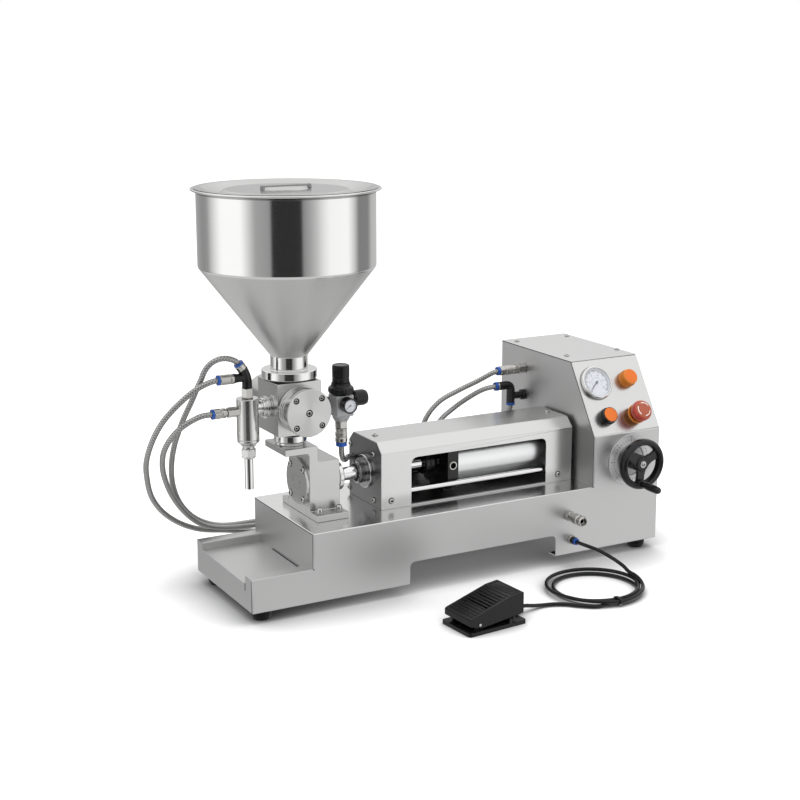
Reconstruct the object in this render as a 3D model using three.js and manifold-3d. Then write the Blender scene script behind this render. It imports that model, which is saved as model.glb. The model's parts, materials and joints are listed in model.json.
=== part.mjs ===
// Piston paste filling machine, with its foot pedal and hoses.
// Millimetres. x runs from the filling end to the control end, y from the front to the back, z up.
// The named sizes are read from the zero at the front left corner of the base, on the floor.
// At the end the whole group is moved so that the origin is under the middle of the machine.

import * as THREE from 'three';
import { mergeVertices } from 'three/addons/utils/BufferGeometryUtils.js';
import Module from 'manifold-3d';

const wasm = await Module();
wasm.setup();

// Driving sizes shared by every piece

const seat = 0.3;            // gap between two pieces that touch
const overrun = 4;           // how far a cutting shape runs past the wall it cuts
const lap = 1;               // how far joined shapes of one piece run into each other
const edge = 1;              // small chamfer on a turned rim
const sheet = 2;             // stainless sheet of the base and the cabinet

// Base, cabinet and feet

const base = { length: 860, depth: 254, foot: 20, deck: 145, hem: 22 };
const tray = { length: 116, top: 81, sink: 14, front: 29, back: 26, slit: 2, slitRun: 146, notch: 3, notchDrop: 13 };
tray.floor = tray.top - tray.sink;
const arch = { leftShare: 0.357, widthShare: 0.3674, top: 62, round: 12 };
arch.left = base.length * arch.leftShare;
arch.right = arch.left + base.length * arch.widthShare;
const cabinet = { width: 154, depth: 328, panelFoot: 243, panelRun: 83, height: 374 };
cabinet.left = base.length - cabinet.width;
cabinet.slope = Math.hypot(cabinet.panelRun, cabinet.height - cabinet.panelFoot);
const foot = { top: 17.5, bottom: 15.5, stud: 4, inset: 28, nut: 9, nutHigh: 5, taperShare: 0.35 };

// Piston block: column, shelf above it, base plate below it

const mainAxis = { y: base.depth / 2, rise: 59 };          // line of both pistons
mainAxis.z = base.deck + mainAxis.rise;
const column = { setback: 33.6, width: 59.4, height: 102, depth: 88 };
column.left = tray.length + column.setback;
column.right = column.left + column.width;
column.top = base.deck + column.height;
const shelf = { reach: 45.6, neck: 17.4, rise: 29, thick: 12, round: 5, nose: 1.6 };
shelf.left = column.left - shelf.reach;
shelf.top = column.top + shelf.rise;
const plate = { width: 62.4, depth: 148, thick: 12 };
const port = { inset: 6.4, radius: 4.5 };                  // way for the paste, from the valve down to the bore
const chamber = { bore: 24, cover: 43.5, coverThick: 5, spigot: 4, flange: 28, flangeLong: 19, end: 6 };
chamber.flangeEnd = column.right + chamber.flangeLong;
chamber.boreEnd = chamber.flangeEnd - chamber.end;
const flangeGroove = { deep: 1.6, startShare: 0.3, floorShares: [0.36, 0.5], endShare: 0.56, noseShare: 0.92 };

// Valve between hopper, chamber and nozzle

const collar = { height: 23.4, radius: 29.5, well: 27, wellHigh: 8, groove: 1.8 };
const collarShares = { low: 0.2, belt: 0.26, beltTop: 0.74, neck: 0.8 };
const valve = { half: 42, height: 94, bore: 20, rotor: 30, backWall: 5, outlet: 9, edge: 1.5, stem: 9, channel: 10 };
valve.low = shelf.top + 2 * seat + collar.height;
valve.high = valve.low + valve.height;
valve.front = mainAxis.y - valve.half;
valve.back = mainAxis.y + valve.half;
const valveAxis = { inset: 30 };                           // rotor of the valve, hopper above it, collar below it
valveAxis.x = shelf.left + valveAxis.inset;
valveAxis.z = (valve.low + valve.high) / 2;
const frontCover = { radius: 42.3, thick: 38.7, groove: 1.4, spigot: 4, ringShares: [0.16, 0.34, 0.52] };
const actuator = { flange: 41, flangeThick: 8, body: 33, length: 74.7, edge: 3 };

// Hopper, gasket and lid

const gasket = { thick: 2.2, inset: 3 };
const hopper = {
  wall: 1.5, flange: 49, flangeThick: 15, neck: 33, neckHigh: 39.2, cone: 160.6, straight: 131, body: 154.2,
  rim: 163.6, bead: 3, knuckle: 9,
};
hopper.bottom = valve.high + gasket.thick + 2 * seat;
hopper.neckTop = hopper.bottom + hopper.neckHigh;
hopper.bodyFoot = hopper.neckTop + hopper.cone;
hopper.top = hopper.bodyFoot + hopper.straight;
const beadShares = { under: 1.4, lower: 1.2, wide: 0.7, high: 0.3, crown: 0.5 };
const lid = {
  edge: 158, thick: 1.2, land: 148, dish: 120, dishDrop: 14, crown: 107, crownDrop: 4, fall: 4, fallDrop: 3,
  well: 38, wellDrop: 10,
};
const strap = { length: 92, width: 11, thick: 3, leg: 4, inner: 1.5 };

// Filling nozzle with its needle and air fittings

const nozzle = {
  reach: 38.5, body: 19.7, below: 66, above: 20, bore: 15, roof: 3, cone: 7, throat: 6, edge: 2.5, boreFoot: 8,
  throatHigh: 2,
};
nozzle.x = valveAxis.x - valve.half - nozzle.reach;
nozzle.low = valveAxis.z - nozzle.below;
nozzle.top = valveAxis.z + nozzle.above;
const seam = { rise: 12, high: 1.5, deep: 0.8 };
const union = { radius: 17, ring: 20, paste: 7, ringShares: [0.74, 0.78, 0.92] };
const airEnd = { hex: 9.5, hexLong: 20, body: 8.2, bodyLong: 24, drop: 2, root: 2 };
const nut = { radius: 14, high: 21.4, chamfer: 3, ease: 1.5, neck: 5, shoulder: 4 };
const spout = { radius: 8, bore: 6, below: 144 };
spout.end = valveAxis.z - spout.below;
nut.top = nozzle.low - 2 * seat;
nut.low = nut.top - nut.high;
const needle = {
  rod: 4, head: 14.6, headThick: 3.8, headGap: 8.2, tip: 2, tipLong: 6, guide: 1, neck: 4, cone: 8, shoulder: 3,
};
needle.seat = nozzle.low + nozzle.throatHigh;
needle.headHigh = nozzle.top - needle.headGap;
const tee = { hex: 11, hexHigh: 18, body: 7.5, mouth: 8.4, branch: 6.8, branchMouth: 7.6, root: 2 };
// places on the two arms of the tee, as [out from the nozzle's axis, up from its top]
const teeArm = { bend: [0, 30], neck: [6.3, 49.2], mouth: [14.25, 60.5] };
const teeBranch = { root: [4.5, 37], knee: [25.5, 36.7], mouth: [51.5, 36.4] };

// Piston drive under the window cover

const housing = { gap: 74, cabinetGap: 8, half: 64, height: 123, chamfer: 18, sheet: 1.5, plate: 4, floor: 3 };
housing.left = column.right + housing.gap;
housing.right = cabinet.left - housing.cabinetGap;
housing.front = mainAxis.y - housing.half;
housing.back = mainAxis.y + housing.half;
housing.top = base.deck + housing.height;
const view = { inset: 61.5, end: 59, sill: 6, high: 91, round: 14 };
const rodSize = { radius: 12.5, air: 11, screwShare: 0.5, screwLongShare: 0.5 };
const air = { start: 149, cap: 23, capHalf: 46.5, capChamfer: 7, rear: 22, rearGap: 12, bore: 42.5, tube: 45 };
air.left = housing.left + air.start;
air.right = housing.right - air.rearGap;
air.tubeLeft = air.left + air.cap;
air.tubeRight = air.right - air.rear;
const airPort = { radius: 6, deep: 8, land: 1, ring: 1, drop: 1 };
const airSpigot = { long: 4, seal: 16.5 };
const capFoot = { inset: 2, sideShare: 3 };
const airPistonSize = { thick: 14, gap: 18, groove: 2, grooveShares: [0.4, 0.6] };
const hoseBoss = { radius: 8, long: 14, y: 28, z: 28 };    // takes the regulator's hose on the front cap
const hosePass = { y: 45, z: 16 };                         // hole for that hose in the left end plate
const guide = { radius: 5, reach: 53, drop: 32 };
const coupling = {
  start: 116, radius: 22, long: 29, grip: 10, airGrip: 8, ease: 2, shoulder: 9, shoulderLong: 2, neck: 15,
};
coupling.left = housing.left + coupling.start;
coupling.right = coupling.left + coupling.long;
const gland = { flange: 31, flangeThick: 5, barrel: 21, long: 20.7, lip: 16.5, ease: 2.5 };
const packing = { long: 16.4, gap: 1, groove: 3, grooveDeep: 2, ringShares: [0.22, 0.6] };
packing.right = chamber.boreEnd - packing.gap;
packing.left = packing.right - packing.long;

// Regulator beside the valve, with its two knobs and its gauge

const regulator = { side: 90, front: 22, low: 27, high: 13, half: 17.3, step: 1, stepHigh: 2, bonnetFoot: 4 };
regulator.x = valveAxis.x + regulator.side;
regulator.y = mainAxis.y - regulator.front;
regulator.foot = valveAxis.z - regulator.low;
regulator.head = valveAxis.z + regulator.high;
const bonnet = { radius: 23, belt: 12, draw: 6, high: 21 };
bonnet.top = regulator.head + bonnet.high;
const knob = { radius: 15.5, high: 32, crown: 2, knurl: 0.9, count: 18, stem: 7, stemLong: 12, stemGap: 2 };
const sideKnob = { radius: 14.5, long: 27, gap: 4.7, stem: 3.5, stemLong: 6, stemGap: 2, rise: 2 };
const smallGauge = {
  radius: 14, boss: 10, draw: 5, long: 21.7, rim: 2.5, sink: 3, drop: 2, stem: 3.5, stemLong: 6,
};
const drain = { hex: 12, hexLong: 22, neck: 3, sleeve: 11, sleeveLong: 26, ease: 2, ring: 10, ringLong: 8, collar: 4 };
const arm = { thick: 3, drop: 17, high: 23, reach: 26 };

// Gauge, push buttons and stop button on the sloping panel

const gauge = { bezel: 33, rim: 9, case: 27, deep: 24, face: 29, sink: 5, ease: 2, pivot: 1.5, pivotDeep: 3 };
const hand = { length: 21, width: 3, thick: 0.8, pivotIn: 2, turnShare: 1.22 };
const smallHand = { length: 9, width: 1.6, thick: 0.8, turnShare: 1.2 };
const handShares = { tail: 1.6, root: 0.5, tip: 1 / 6, overlap: 0.5 };
const button = {
  stem: 8, stemDeep: 8, collar: 16.5, rim: 4, gap: 4, start: 14.5, startHigh: 18, edge: 1.5, power: 15.5, powerHigh: 19,
};
const stop = {
  base: 19, rim: 5, stem: 10, stemDeep: 10, throat: 14, throatFoot: 14, flare: 2, head: 20, high: 38, belt: 6, crown: 11,
};
const crownShares = { brim: 0.63, belt: 0.79, shoulder: 0.92, brow: 0.97, browIn: 0.45 };
const panelShares = { gauge: [0.253, 0.677], start: [0.253, 0.226], power: [0.721, 0.677], stop: [0.669, 0.2] };

// Dial ring and handwheel on the front of the cabinet

const dial = { fromRight: 69, z: 188, outer: 51, inner: 31, thick: 1.5 };
const wheel = {
  outer: 49, rimWide: 13, front: 46, back: 26, hub: 14, hubFront: 40, web: 32, webThick: 6, spoke: 17, boss: 16,
  shaft: 6, inside: 60, hubBack: 4,
};
const rimShares = { round: 0.46, corner: 0.16, side: 0.54, lip: 0.31, well: 0.62 };
const crank = {
  reach: 38, radius: 7, thin: 5, start: 47, end: 96, pin: 3, lug: 8, flare: 12, cap: 5, crown: 3, angle: -1.66,
};

// Fittings in the walls

const inlet = {
  fromCabinet: 57, z: 98, thread: 6.5, tail: 12, hex: 10, hexLong: 12, body: 7, long: 44, bore: 4.5, boreDeep: 20,
};
const sleeve = { gap: 6, radius: 10, small: 1, groove: 1.5, over: 6 };
const sleeveShares = { first: 0.125, second: 0.156, belt: 0.56, dip: 0.62, dipEnd: 0.69, rise: 0.75, nose: 0.94 };
const pedalPort = { fromCabinet: 49, z: 49, thread: 5, tail: 12, hex: 9, hexLong: 6, body: 7.5, long: 15 };
const sidePort = { fromBack: 10, drop: 43, thread: 6.5, tail: 12, hex: 11, hexLong: 18, body: 9.5, long: 60 };
sidePort.y = base.depth - sidePort.fromBack;
sidePort.z = cabinet.height - sidePort.drop;
const elbow = { drop: 54, out: 32, reach: 64, below: 13, above: 23, radius: 8.5, flange: 10.5, flangeLong: 8, tail: 10 };
elbow.x = cabinet.left - elbow.out;
elbow.z = sidePort.z - elbow.drop;

// Foot pedal

const pedal = { x: 352, y: -179, turn: 0.087, length: 121, width: 82, plate: 7, round: 6, inset: 4, wall: 3 };
const hood = {
  toe: 29, toeLow: 17, bend: 54, bendAt: 90, heel: 57, low: 3, lift: 9, edge: 3, open: 12, pinBack: 6,
};
const pin = { inset: 24, rise: 10, radius: 3, over: 1, cheek: 4, cheekFoot: 7, cheekHead: 6, cheekOver: 5, round: 3 };
pin.x = pin.inset - pedal.length / 2;
pin.z = pedal.plate + pin.rise;
const pedalValve = { back: 8, long: 30, half: 14, top: 30, stem: 5, stemHigh: 5 };
const pedalGland = { radius: 6.5, rise: 6, long: 20, slot: 9, slotOver: 18 };
pedalGland.z = pedal.plate + pedalGland.rise;
const rib = { half: 1.6, rise: 1.1, count: 12, margin: 6, firstShare: 0.1, runShare: 0.86 };

// Hoses

const hose = { air: 5, pedal: 3.5, airStep: 32, shortStep: 18, pedalStep: 14, pass: 2.3 };
const coil = { x: 613, y: -139, radius: 84.4, turns: 2, floor: 0.2 };
coil.top = coil.floor + 2 * coil.turns * hose.pedal;

// How finely round shapes are faceted

const fine = 28;
const round = 16;
const small = 10;
const tiny = 8;
const ballRings = 6;
const hoseSides = 8;
const bendPoints = 4;
const sharp = 1e-3;          // points closer than this are one

// Finishes

const finish = (color, roughness, metalness) => new THREE.MeshStandardMaterial({ color, roughness, metalness });
const brushed = () => finish(0xb9bab9, 0.38, 1);
const polished = () => finish(0xc9cacb, 0.12, 1);
const machined = () => finish(0xb4b4b2, 0.3, 1);
const chromed = () => finish(0xd5d6d8, 0.08, 1);
const anodised = () => finish(0xcdd0d3, 0.45, 0.9);
const blackPlastic = () => finish(0x17181a, 0.45, 0);
const blackRubber = () => finish(0x141414, 0.8, 0);
const nickel = () => finish(0xa59f94, 0.28, 1);
const braid = () => finish(0x77746f, 0.6, 0);
const orange = () => finish(0xe8761c, 0.35, 0);
const red = () => finish(0xa83a22, 0.3, 0);
const ivory = () => finish(0xe9e6dd, 0.5, 0);
const grey = () => finish(0x8d9092, 0.45, 0.6);
const pedalBlack = () => finish(0x232426, 0.55, 0.1);

// Solids

function solid(geometry) {
  const plain = geometry.clone();
  plain.deleteAttribute('normal');
  plain.deleteAttribute('uv');
  const merged = mergeVertices(plain, sharp);
  const corners = merged.index.array;
  const kept = [];
  for (let i = 0; i < corners.length; i += 3) {
    const [a, b, c] = corners.slice(i, i + 3);
    if (a !== b && b !== c && c !== a) kept.push(a, b, c);
  }
  const vertProperties = new Float32Array(merged.attributes.position.array);
  return new wasm.Manifold(new wasm.Mesh({ numProp: 3, vertProperties, triVerts: new Uint32Array(kept) }));
}

function geometryOf(body) {
  const mesh = body.getMesh();
  const geometry = new THREE.BufferGeometry();
  geometry.setAttribute('position', new THREE.BufferAttribute(new Float32Array(mesh.vertProperties), 3));
  geometry.setIndex(new THREE.BufferAttribute(new Uint32Array(mesh.triVerts), 1));
  geometry.computeVertexNormals();
  return geometry;
}

const join = (first, ...rest) => rest.reduce((sum, next) => sum.add(next), first);
const cut = (first, ...rest) => rest.reduce((sum, next) => sum.subtract(next), first);

// A box between two corners.
function block([x0, y0, z0], [x1, y1, z1]) {
  const box = new THREE.BoxGeometry(x1 - x0, y1 - y0, z1 - z0);
  return solid(box.translate((x0 + x1) / 2, (y0 + y1) / 2, (z0 + z1) / 2));
}

// An outline whose corners [across, up, radius] are rounded by their own radius.
function outline(corners) {
  const shape = new THREE.Shape();
  corners.forEach(([x, y, radius = 0], i) => {
    const here = new THREE.Vector2(x, y);
    const [px, py] = corners[(i + corners.length - 1) % corners.length];
    const [nx, ny] = corners[(i + 1) % corners.length];
    const enter = here.clone().add(new THREE.Vector2(px, py).sub(here).setLength(radius));
    const leave = here.clone().add(new THREE.Vector2(nx, ny).sub(here).setLength(radius));
    if (i === 0) shape.moveTo(enter.x, enter.y);
    else shape.lineTo(enter.x, enter.y);
    if (radius > 0) shape.quadraticCurveTo(here.x, here.y, leave.x, leave.y);
  });
  shape.closePath();
  return shape;
}

const rectangle = (x0, y0, x1, y1, radius = 0) =>
  outline([[x0, y0, radius], [x1, y0, radius], [x1, y1, radius], [x0, y1, radius]]);

const extruded = (shape, length) =>
  new THREE.ExtrudeGeometry(shape, { depth: length, bevelEnabled: false, curveSegments: bendPoints });

const basis = (x, y, z) => new THREE.Matrix4().makeBasis(...[x, y, z].map((v) => new THREE.Vector3(...v)));
const facingX = basis([0, 1, 0], [0, 0, 1], [1, 0, 0]);     // outline [y, z], run along x
const facingY = basis([1, 0, 0], [0, 0, 1], [0, -1, 0]);    // outline [x, z], run back to front

const alongX = (shape, x0, x1) => solid(extruded(shape, x1 - x0).applyMatrix4(facingX).translate(x0, 0, 0));
const alongY = (shape, y0, y1) => solid(extruded(shape, y1 - y0).applyMatrix4(facingY).translate(0, y1, 0));
const alongZ = (shape, z0, z1) => solid(extruded(shape, z1 - z0).translate(0, 0, z0));
const moved = (body, matrix) => solid(geometryOf(body).applyMatrix4(matrix));

// A body of revolution about z. The profile holds [radius, height], outer side upwards.
function turned(profile, facets = round) {
  const points = profile.map(([radius, height]) => new THREE.Vector2(radius, height));
  return new THREE.LatheGeometry(points, facets).rotateX(Math.PI / 2);
}

const rod = (radius, from, to, facets = round) => turned([[0, from], [radius, from], [radius, to], [0, to]], facets);
const tube = (inner, outer, from, to, facets = round) =>
  turned([[inner, from], [outer, from], [outer, to], [inner, to], [inner, from]], facets);
const prism = (radius, from, to, sides = 6) => rod(radius, from, to, sides);
const ball = (radius, place) => solid(new THREE.SphereGeometry(radius, small, ballRings).translate(...place));

// The same body with its axis laid along x, along y or towards the front.
const toX = (geometry) => geometry.rotateY(Math.PI / 2);
const toY = (geometry) => geometry.rotateX(-Math.PI / 2);
const toFront = (geometry) => geometry.rotateX(Math.PI / 2);
const at = (geometry, x, y, z) => solid(geometry.translate(x, y, z));

// Bodies drawn about z, set on the three main axes of the machine.
const onMainAxis = (geometry, x = 0) => at(toX(geometry), x, mainAxis.y, mainAxis.z);
const onValveAxis = (geometry, z = 0) => at(geometry, valveAxis.x, mainAxis.y, z);
const onRotor = (geometry, y = 0) => at(toY(geometry), valveAxis.x, y, valveAxis.z);
const onNozzle = (geometry) => at(geometry, nozzle.x, mainAxis.y, 0);

// A round bar between two points.
function bar(from, to, radius, facets = small) {
  const start = new THREE.Vector3(...from);
  const run = new THREE.Vector3(...to).sub(start);
  const turn = new THREE.Quaternion().setFromUnitVectors(new THREE.Vector3(0, 0, 1), run.clone().normalize());
  return solid(rod(radius, 0, run.length(), facets).applyQuaternion(turn).translate(...from));
}

// Barrels one after another along a line of points, each with its own radius, lapped where they meet.
function barrels(points, radii, facets = small) {
  const parts = radii.map((radius, i) => {
    const start = new THREE.Vector3(...points[i]);
    const end = new THREE.Vector3(...points[i + 1]);
    const back = start.clone().sub(end).setLength(i > 0 ? lap : 0);
    return bar(start.add(back).toArray(), points[i + 1], radius, facets);
  });
  return join(...parts);
}

// A ring of places round a centre, first one at the angle given.
const ringOf = (count, radius, first = 0) => Array.from({ length: count }, (_, i) => {
  const angle = first + (i * 2 * Math.PI) / count;
  return [radius * Math.cos(angle), radius * Math.sin(angle)];
});

// A round grip with ridges along it.
function knurled(radius, depth, from, to, count) {
  const points = ringOf(2 * count, radius).map(([x, y], i) => {
    const share = i % 2 ? (radius - depth) / radius : 1;
    return new THREE.Vector2(x * share, y * share);
  });
  return extruded(new THREE.Shape().setFromPoints(points), to - from).translate(0, 0, from);
}

// The scene graph

const machine = new THREE.Group();
const hoses = new THREE.Group();

function piece(name, body, material, parent = machine) {
  const geometry = body.isBufferGeometry ? body : geometryOf(body);
  const mesh = new THREE.Mesh(geometry, material);
  mesh.name = name;
  parent.add(mesh);
  return mesh;
}

// Base, cabinet and feet

const panelAngle = Math.atan2(cabinet.panelRun, cabinet.height - cabinet.panelFoot);
const panel = new THREE.Group();               // x along the panel, y up its slope, z out of it
panel.position.set(cabinet.left, 0, cabinet.panelFoot);
panel.rotation.x = Math.PI / 2 - panelAngle;
machine.add(panel);

const onPanel = Object.fromEntries(Object.entries(panelShares).map(([name, [along, up]]) =>
  [name, [along * cabinet.width, up * cabinet.slope]]));

dial.x = base.length - dial.fromRight;
inlet.x = cabinet.left - inlet.fromCabinet;
pedalPort.x = cabinet.left - pedalPort.fromCabinet;

const footPlaces = {
  foot_front_left: [foot.inset, foot.inset],
  foot_front_right: [base.length - foot.inset, foot.inset],
  foot_back_left: [foot.inset, base.depth - foot.inset],
  foot_back_right: [base.length - foot.inset, cabinet.depth - foot.inset],
};

// The outline of the cabinet seen from its end, drawn in by the given amount.
function cabinetOutline(inset, floor, roof) {
  const lean = Math.tan(panelAngle / 2) * inset;
  return outline([
    [inset, floor],
    [cabinet.depth - seat - sheet, floor],
    [cabinet.depth - seat - sheet, roof],
    [cabinet.panelRun + inset / Math.cos(panelAngle) - (cabinet.height - roof) * Math.tan(panelAngle), roof],
    [inset, cabinet.panelFoot - lean],
  ]);
}

// What is cut out of the base and the cabinet from inside, below and behind.
function baseHollows(roof) {
  const { foot: low, deck, hem, depth, length } = base;
  const end = tray.length + sheet;
  return [
    block([sheet, sheet, low + sheet], [end, depth - sheet, tray.floor - sheet]),
    block([sheet, sheet, tray.floor - 2 * sheet], [end, tray.front - sheet, tray.top - sheet]),
    block([sheet, depth - tray.back + sheet, tray.floor - 2 * sheet], [end, depth - sheet, tray.top - sheet]),
    block([end, sheet, low + sheet], [cabinet.left + overrun, depth - sheet, deck - sheet]),
    alongX(cabinetOutline(sheet, low + sheet, roof + overrun), cabinet.left + sheet, length - sheet),
    // the open top and back of the cabinet
    block([cabinet.left + sheet, cabinet.panelRun + sheet, roof - overrun],
      [length - sheet, cabinet.depth - sheet, roof + overrun]),
    block([cabinet.left + sheet, cabinet.depth - 2 * overrun, low + hem],
      [length - sheet, cabinet.depth + overrun, roof + overrun]),
    // the open underside inside the folded hem
    block([hem, hem, low - overrun], [length - hem, depth - hem, low + 2 * sheet]),
    block([cabinet.left + hem, depth - 2 * hem, low - overrun], [length - hem, cabinet.depth - hem, low + 2 * sheet]),
  ];
}

// The sunk tray, the arch and the holes in the outer walls.
function baseCuts() {
  const trayBack = base.depth - tray.back;
  const wallHole = (radius, x, z, facets = small) =>
    at(toY(rod(radius + seat, -overrun, sheet + overrun, facets)), x, 0, z);
  const sideHole = (z) =>
    at(toX(rod(sidePort.thread + seat, -overrun, sheet + overrun, small)), cabinet.left, sidePort.y, z);
  return [
    block([-overrun, tray.front, tray.floor], [tray.length, trayBack, base.deck]),
    // the relief slot at the tray's inner end, and the notch where its front fold ends
    block([tray.length - tray.slit, tray.front, tray.floor - 2 * sheet],
      [tray.length, tray.front + tray.slitRun, tray.floor + overrun]),
    block([-overrun, tray.front, tray.floor - tray.notchDrop], [sheet + overrun, tray.front + tray.notch, tray.top]),
    alongY(outline([
      [arch.left, base.foot - overrun],
      [arch.right, base.foot - overrun],
      [arch.right, arch.top, arch.round],
      [arch.left, arch.top, arch.round],
    ]), -overrun, base.hem + sheet),
    wallHole(inlet.thread, inlet.x, inlet.z),
    wallHole(pedalPort.thread, pedalPort.x, pedalPort.z),
    wallHole(wheel.shaft, dial.x, dial.z, round),
    sideHole(sidePort.z),
    sideHole(elbow.z),
    ...Object.values(footPlaces).map(([x, y]) =>
      at(rod(foot.stud + seat, -overrun, sheet + overrun, small), x, y, base.foot)),
  ];
}

function baseFrame() {
  const roof = cabinet.height - sheet - seat;
  const outer = join(
    block([0, 0, base.foot], [tray.length, base.depth, tray.top]),
    block([tray.length, 0, base.foot], [cabinet.left + sheet, base.depth, base.deck]),
    alongX(cabinetOutline(0, base.foot, roof), cabinet.left, base.length),
  );
  // what stands on the panel or goes through it, drawn about the panel's own axis
  const panelTurn = new THREE.Matrix4().makeRotationX(panel.rotation.x).setPosition(panel.position);
  const standing = (geometry, [x, up]) => solid(geometry.translate(x, up, 0).applyMatrix4(panelTurn));
  const hole = (radius, place, facets = round) =>
    standing(rod(radius + seat, -sheet - overrun, overrun, facets), place);
  const ring = (inner, outside, high, place) =>
    standing(tube(inner + seat, outside, -sheet / 2, high), place);
  const shell = cut(
    outer,
    ...baseHollows(roof),
    ...baseCuts(),
    hole(gauge.case, onPanel.gauge, fine),
    hole(button.stem, onPanel.start),
    hole(button.stem, onPanel.power),
    hole(stop.stem, onPanel.stop),
  );
  return join(
    shell,
    ring(button.stem, button.collar, button.rim, onPanel.start),
    ring(button.stem, button.collar, button.rim, onPanel.power),
    ring(stop.stem, stop.base, stop.rim, onPanel.stop),
  );
}

const cabinetTop = () => block(
  [cabinet.left, cabinet.panelRun, cabinet.height - sheet], [base.length, cabinet.depth, cabinet.height]);

const cabinetBack = () => block(
  [cabinet.left, cabinet.depth - sheet, base.foot], [base.length, cabinet.depth, cabinet.height - sheet - seat]);

function levellingFoot() {
  const top = base.foot - seat;
  const nutFoot = base.foot + sheet + seat;
  return solid(turned([
    [0, 0], [foot.bottom, 0], [foot.top, top * foot.taperShare], [foot.top, top], [foot.stud, top],
    [foot.stud, nutFoot], [foot.nut, nutFoot], [foot.nut, nutFoot + foot.nutHigh], [0, nutFoot + foot.nutHigh],
  ], small));
}

piece('base_frame', baseFrame(), brushed());
piece('cabinet_top', cabinetTop(), brushed());
piece('cabinet_back', cabinetBack(), brushed());
for (const [name, [x, y]] of Object.entries(footPlaces)) {
  piece(name, levellingFoot(), blackRubber()).position.set(x, y, 0);
}

// Piston block, chamber cover and chamber flange

function pistonBlock() {
  const low = base.deck + seat;
  const neck = column.left + shelf.neck;
  const profile = outline([
    [column.left, low],
    [column.right, low],
    [column.right, column.top, shelf.nose],
    [neck, column.top, shelf.round],
    [neck, shelf.top, shelf.nose],
    [shelf.left, shelf.top],
    [shelf.left, shelf.top - shelf.thick],
    [column.left, shelf.top - shelf.thick, shelf.round],
  ]);
  const body = join(
    alongY(profile, mainAxis.y - column.depth / 2, mainAxis.y + column.depth / 2),
    block([column.left, mainAxis.y - plate.depth / 2, low],
      [column.left + plate.width, mainAxis.y + plate.depth / 2, base.deck + plate.thick]),
  );
  return cut(
    body,
    onMainAxis(rod(chamber.bore, column.left - overrun, column.right + overrun, fine)),
    at(rod(port.radius, mainAxis.z, shelf.top + overrun, tiny), column.left + port.inset, mainAxis.y, 0),
  );
}

function chamberCover() {
  const { bore, cover, coverThick, spigot } = chamber;
  return onMainAxis(turned([
    [0, 0], [cover - edge, 0], [cover, edge], [cover, coverThick], [bore - seat, coverThick],
    [bore - seat, coverThick + spigot], [0, coverThick + spigot],
  ], fine), column.left - seat - coverThick);
}

function chamberFlange() {
  const x0 = column.right + seat;
  const length = chamber.flangeEnd - x0;
  const inner = chamber.boreEnd - x0;
  const { deep, startShare, floorShares: [from, to], endShare, noseShare } = flangeGroove;
  return onMainAxis(turned([
    [chamber.bore, 0], [chamber.flange, 0], [chamber.flange, length * startShare],
    [chamber.flange - deep, length * from], [chamber.flange - deep, length * to],
    [chamber.flange, length * endShare], [chamber.flange, length * noseShare], [chamber.flange - deep, length],
    [rodSize.radius + seat, length], [rodSize.radius + seat, inner], [chamber.bore, inner], [chamber.bore, 0],
  ], fine), x0);
}

piece('piston_block', pistonBlock(), machined());
piece('chamber_cover', chamberCover(), machined());
piece('chamber_flange', chamberFlange(), polished());

// Valve: body, front cover, rotor, actuator and collar

function valveBody() {
  const side = rectangle(valveAxis.x - valve.half, valve.low, valveAxis.x + valve.half, valve.high, valve.edge);
  return cut(
    alongY(side, valve.front, valve.back),
    onValveAxis(rod(valve.bore, valve.low - overrun, valve.high + overrun)),
    onRotor(rod(valve.rotor, valve.front - overrun, valve.back - valve.backWall, fine)),
    onRotor(rod(valve.stem + seat, valve.front, valve.back + overrun)),
    at(toX(rod(valve.outlet, valveAxis.x - valve.half - overrun, valveAxis.x, small)), 0, mainAxis.y, valveAxis.z),
  );
}

function valveCover() {
  const { radius, thick, groove, spigot, ringShares } = frontCover;
  const side = ringShares.flatMap((share) => [
    [radius, thick * share], [radius - groove, thick * share + groove], [radius, thick * share + 2 * groove],
  ]);
  return at(toFront(turned([
    [0, -spigot], [valve.rotor - seat, -spigot], [valve.rotor - seat, 0], [radius - 2 * groove, 0], ...side,
    [radius, thick - edge], [radius - edge, thick], [0, thick],
  ], fine)), valveAxis.x, valve.front - seat, valveAxis.z);
}

// The rotor: a plug with three ways. Upright it joins hopper and chamber; a quarter turn joins chamber and nozzle.
function valveRotor() {
  const radius = valve.rotor - seat;
  const y0 = valve.front + frontCover.spigot;
  const y1 = valve.back - valve.backWall - seat;
  const stemEnd = valve.back + actuator.flangeThick;
  const way = rod(valve.channel, valveAxis.z - radius - overrun, valveAxis.z + radius + overrun, small);
  const branch = toX(rod(valve.channel, valveAxis.x, valveAxis.x + radius + overrun, small));
  return cut(
    join(onRotor(rod(radius, y0, y1)), onRotor(rod(valve.stem, y1 - lap, stemEnd, small))),
    onValveAxis(way),
    at(branch, 0, mainAxis.y, valveAxis.z),
  );
}

function valveActuator() {
  const { flange, flangeThick, body, length } = actuator;
  const y0 = valve.back + seat;
  const socket = flangeThick + seat;
  return onRotor(turned([
    [valve.stem + seat, 0], [flange, 0], [flange, flangeThick], [body, flangeThick],
    [body, length - actuator.edge], [body - actuator.edge, length], [0, length], [0, socket],
    [valve.stem + seat, socket], [valve.stem + seat, 0],
  ]), y0);
}

function valveCollar() {
  const { height, radius, well, wellHigh, groove } = collar;
  const { low, belt, beltTop, neck } = collarShares;
  return onValveAxis(turned([
    [well, 0], [radius - groove, 0], [radius - groove, height * low], [radius, height * belt],
    [radius, height * beltTop], [radius - 2 * groove, height * neck], [radius - 2 * groove, height],
    [valve.bore, height], [valve.bore, wellHigh + groove], [well, wellHigh], [well, 0],
  ]), shelf.top + seat);
}

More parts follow.
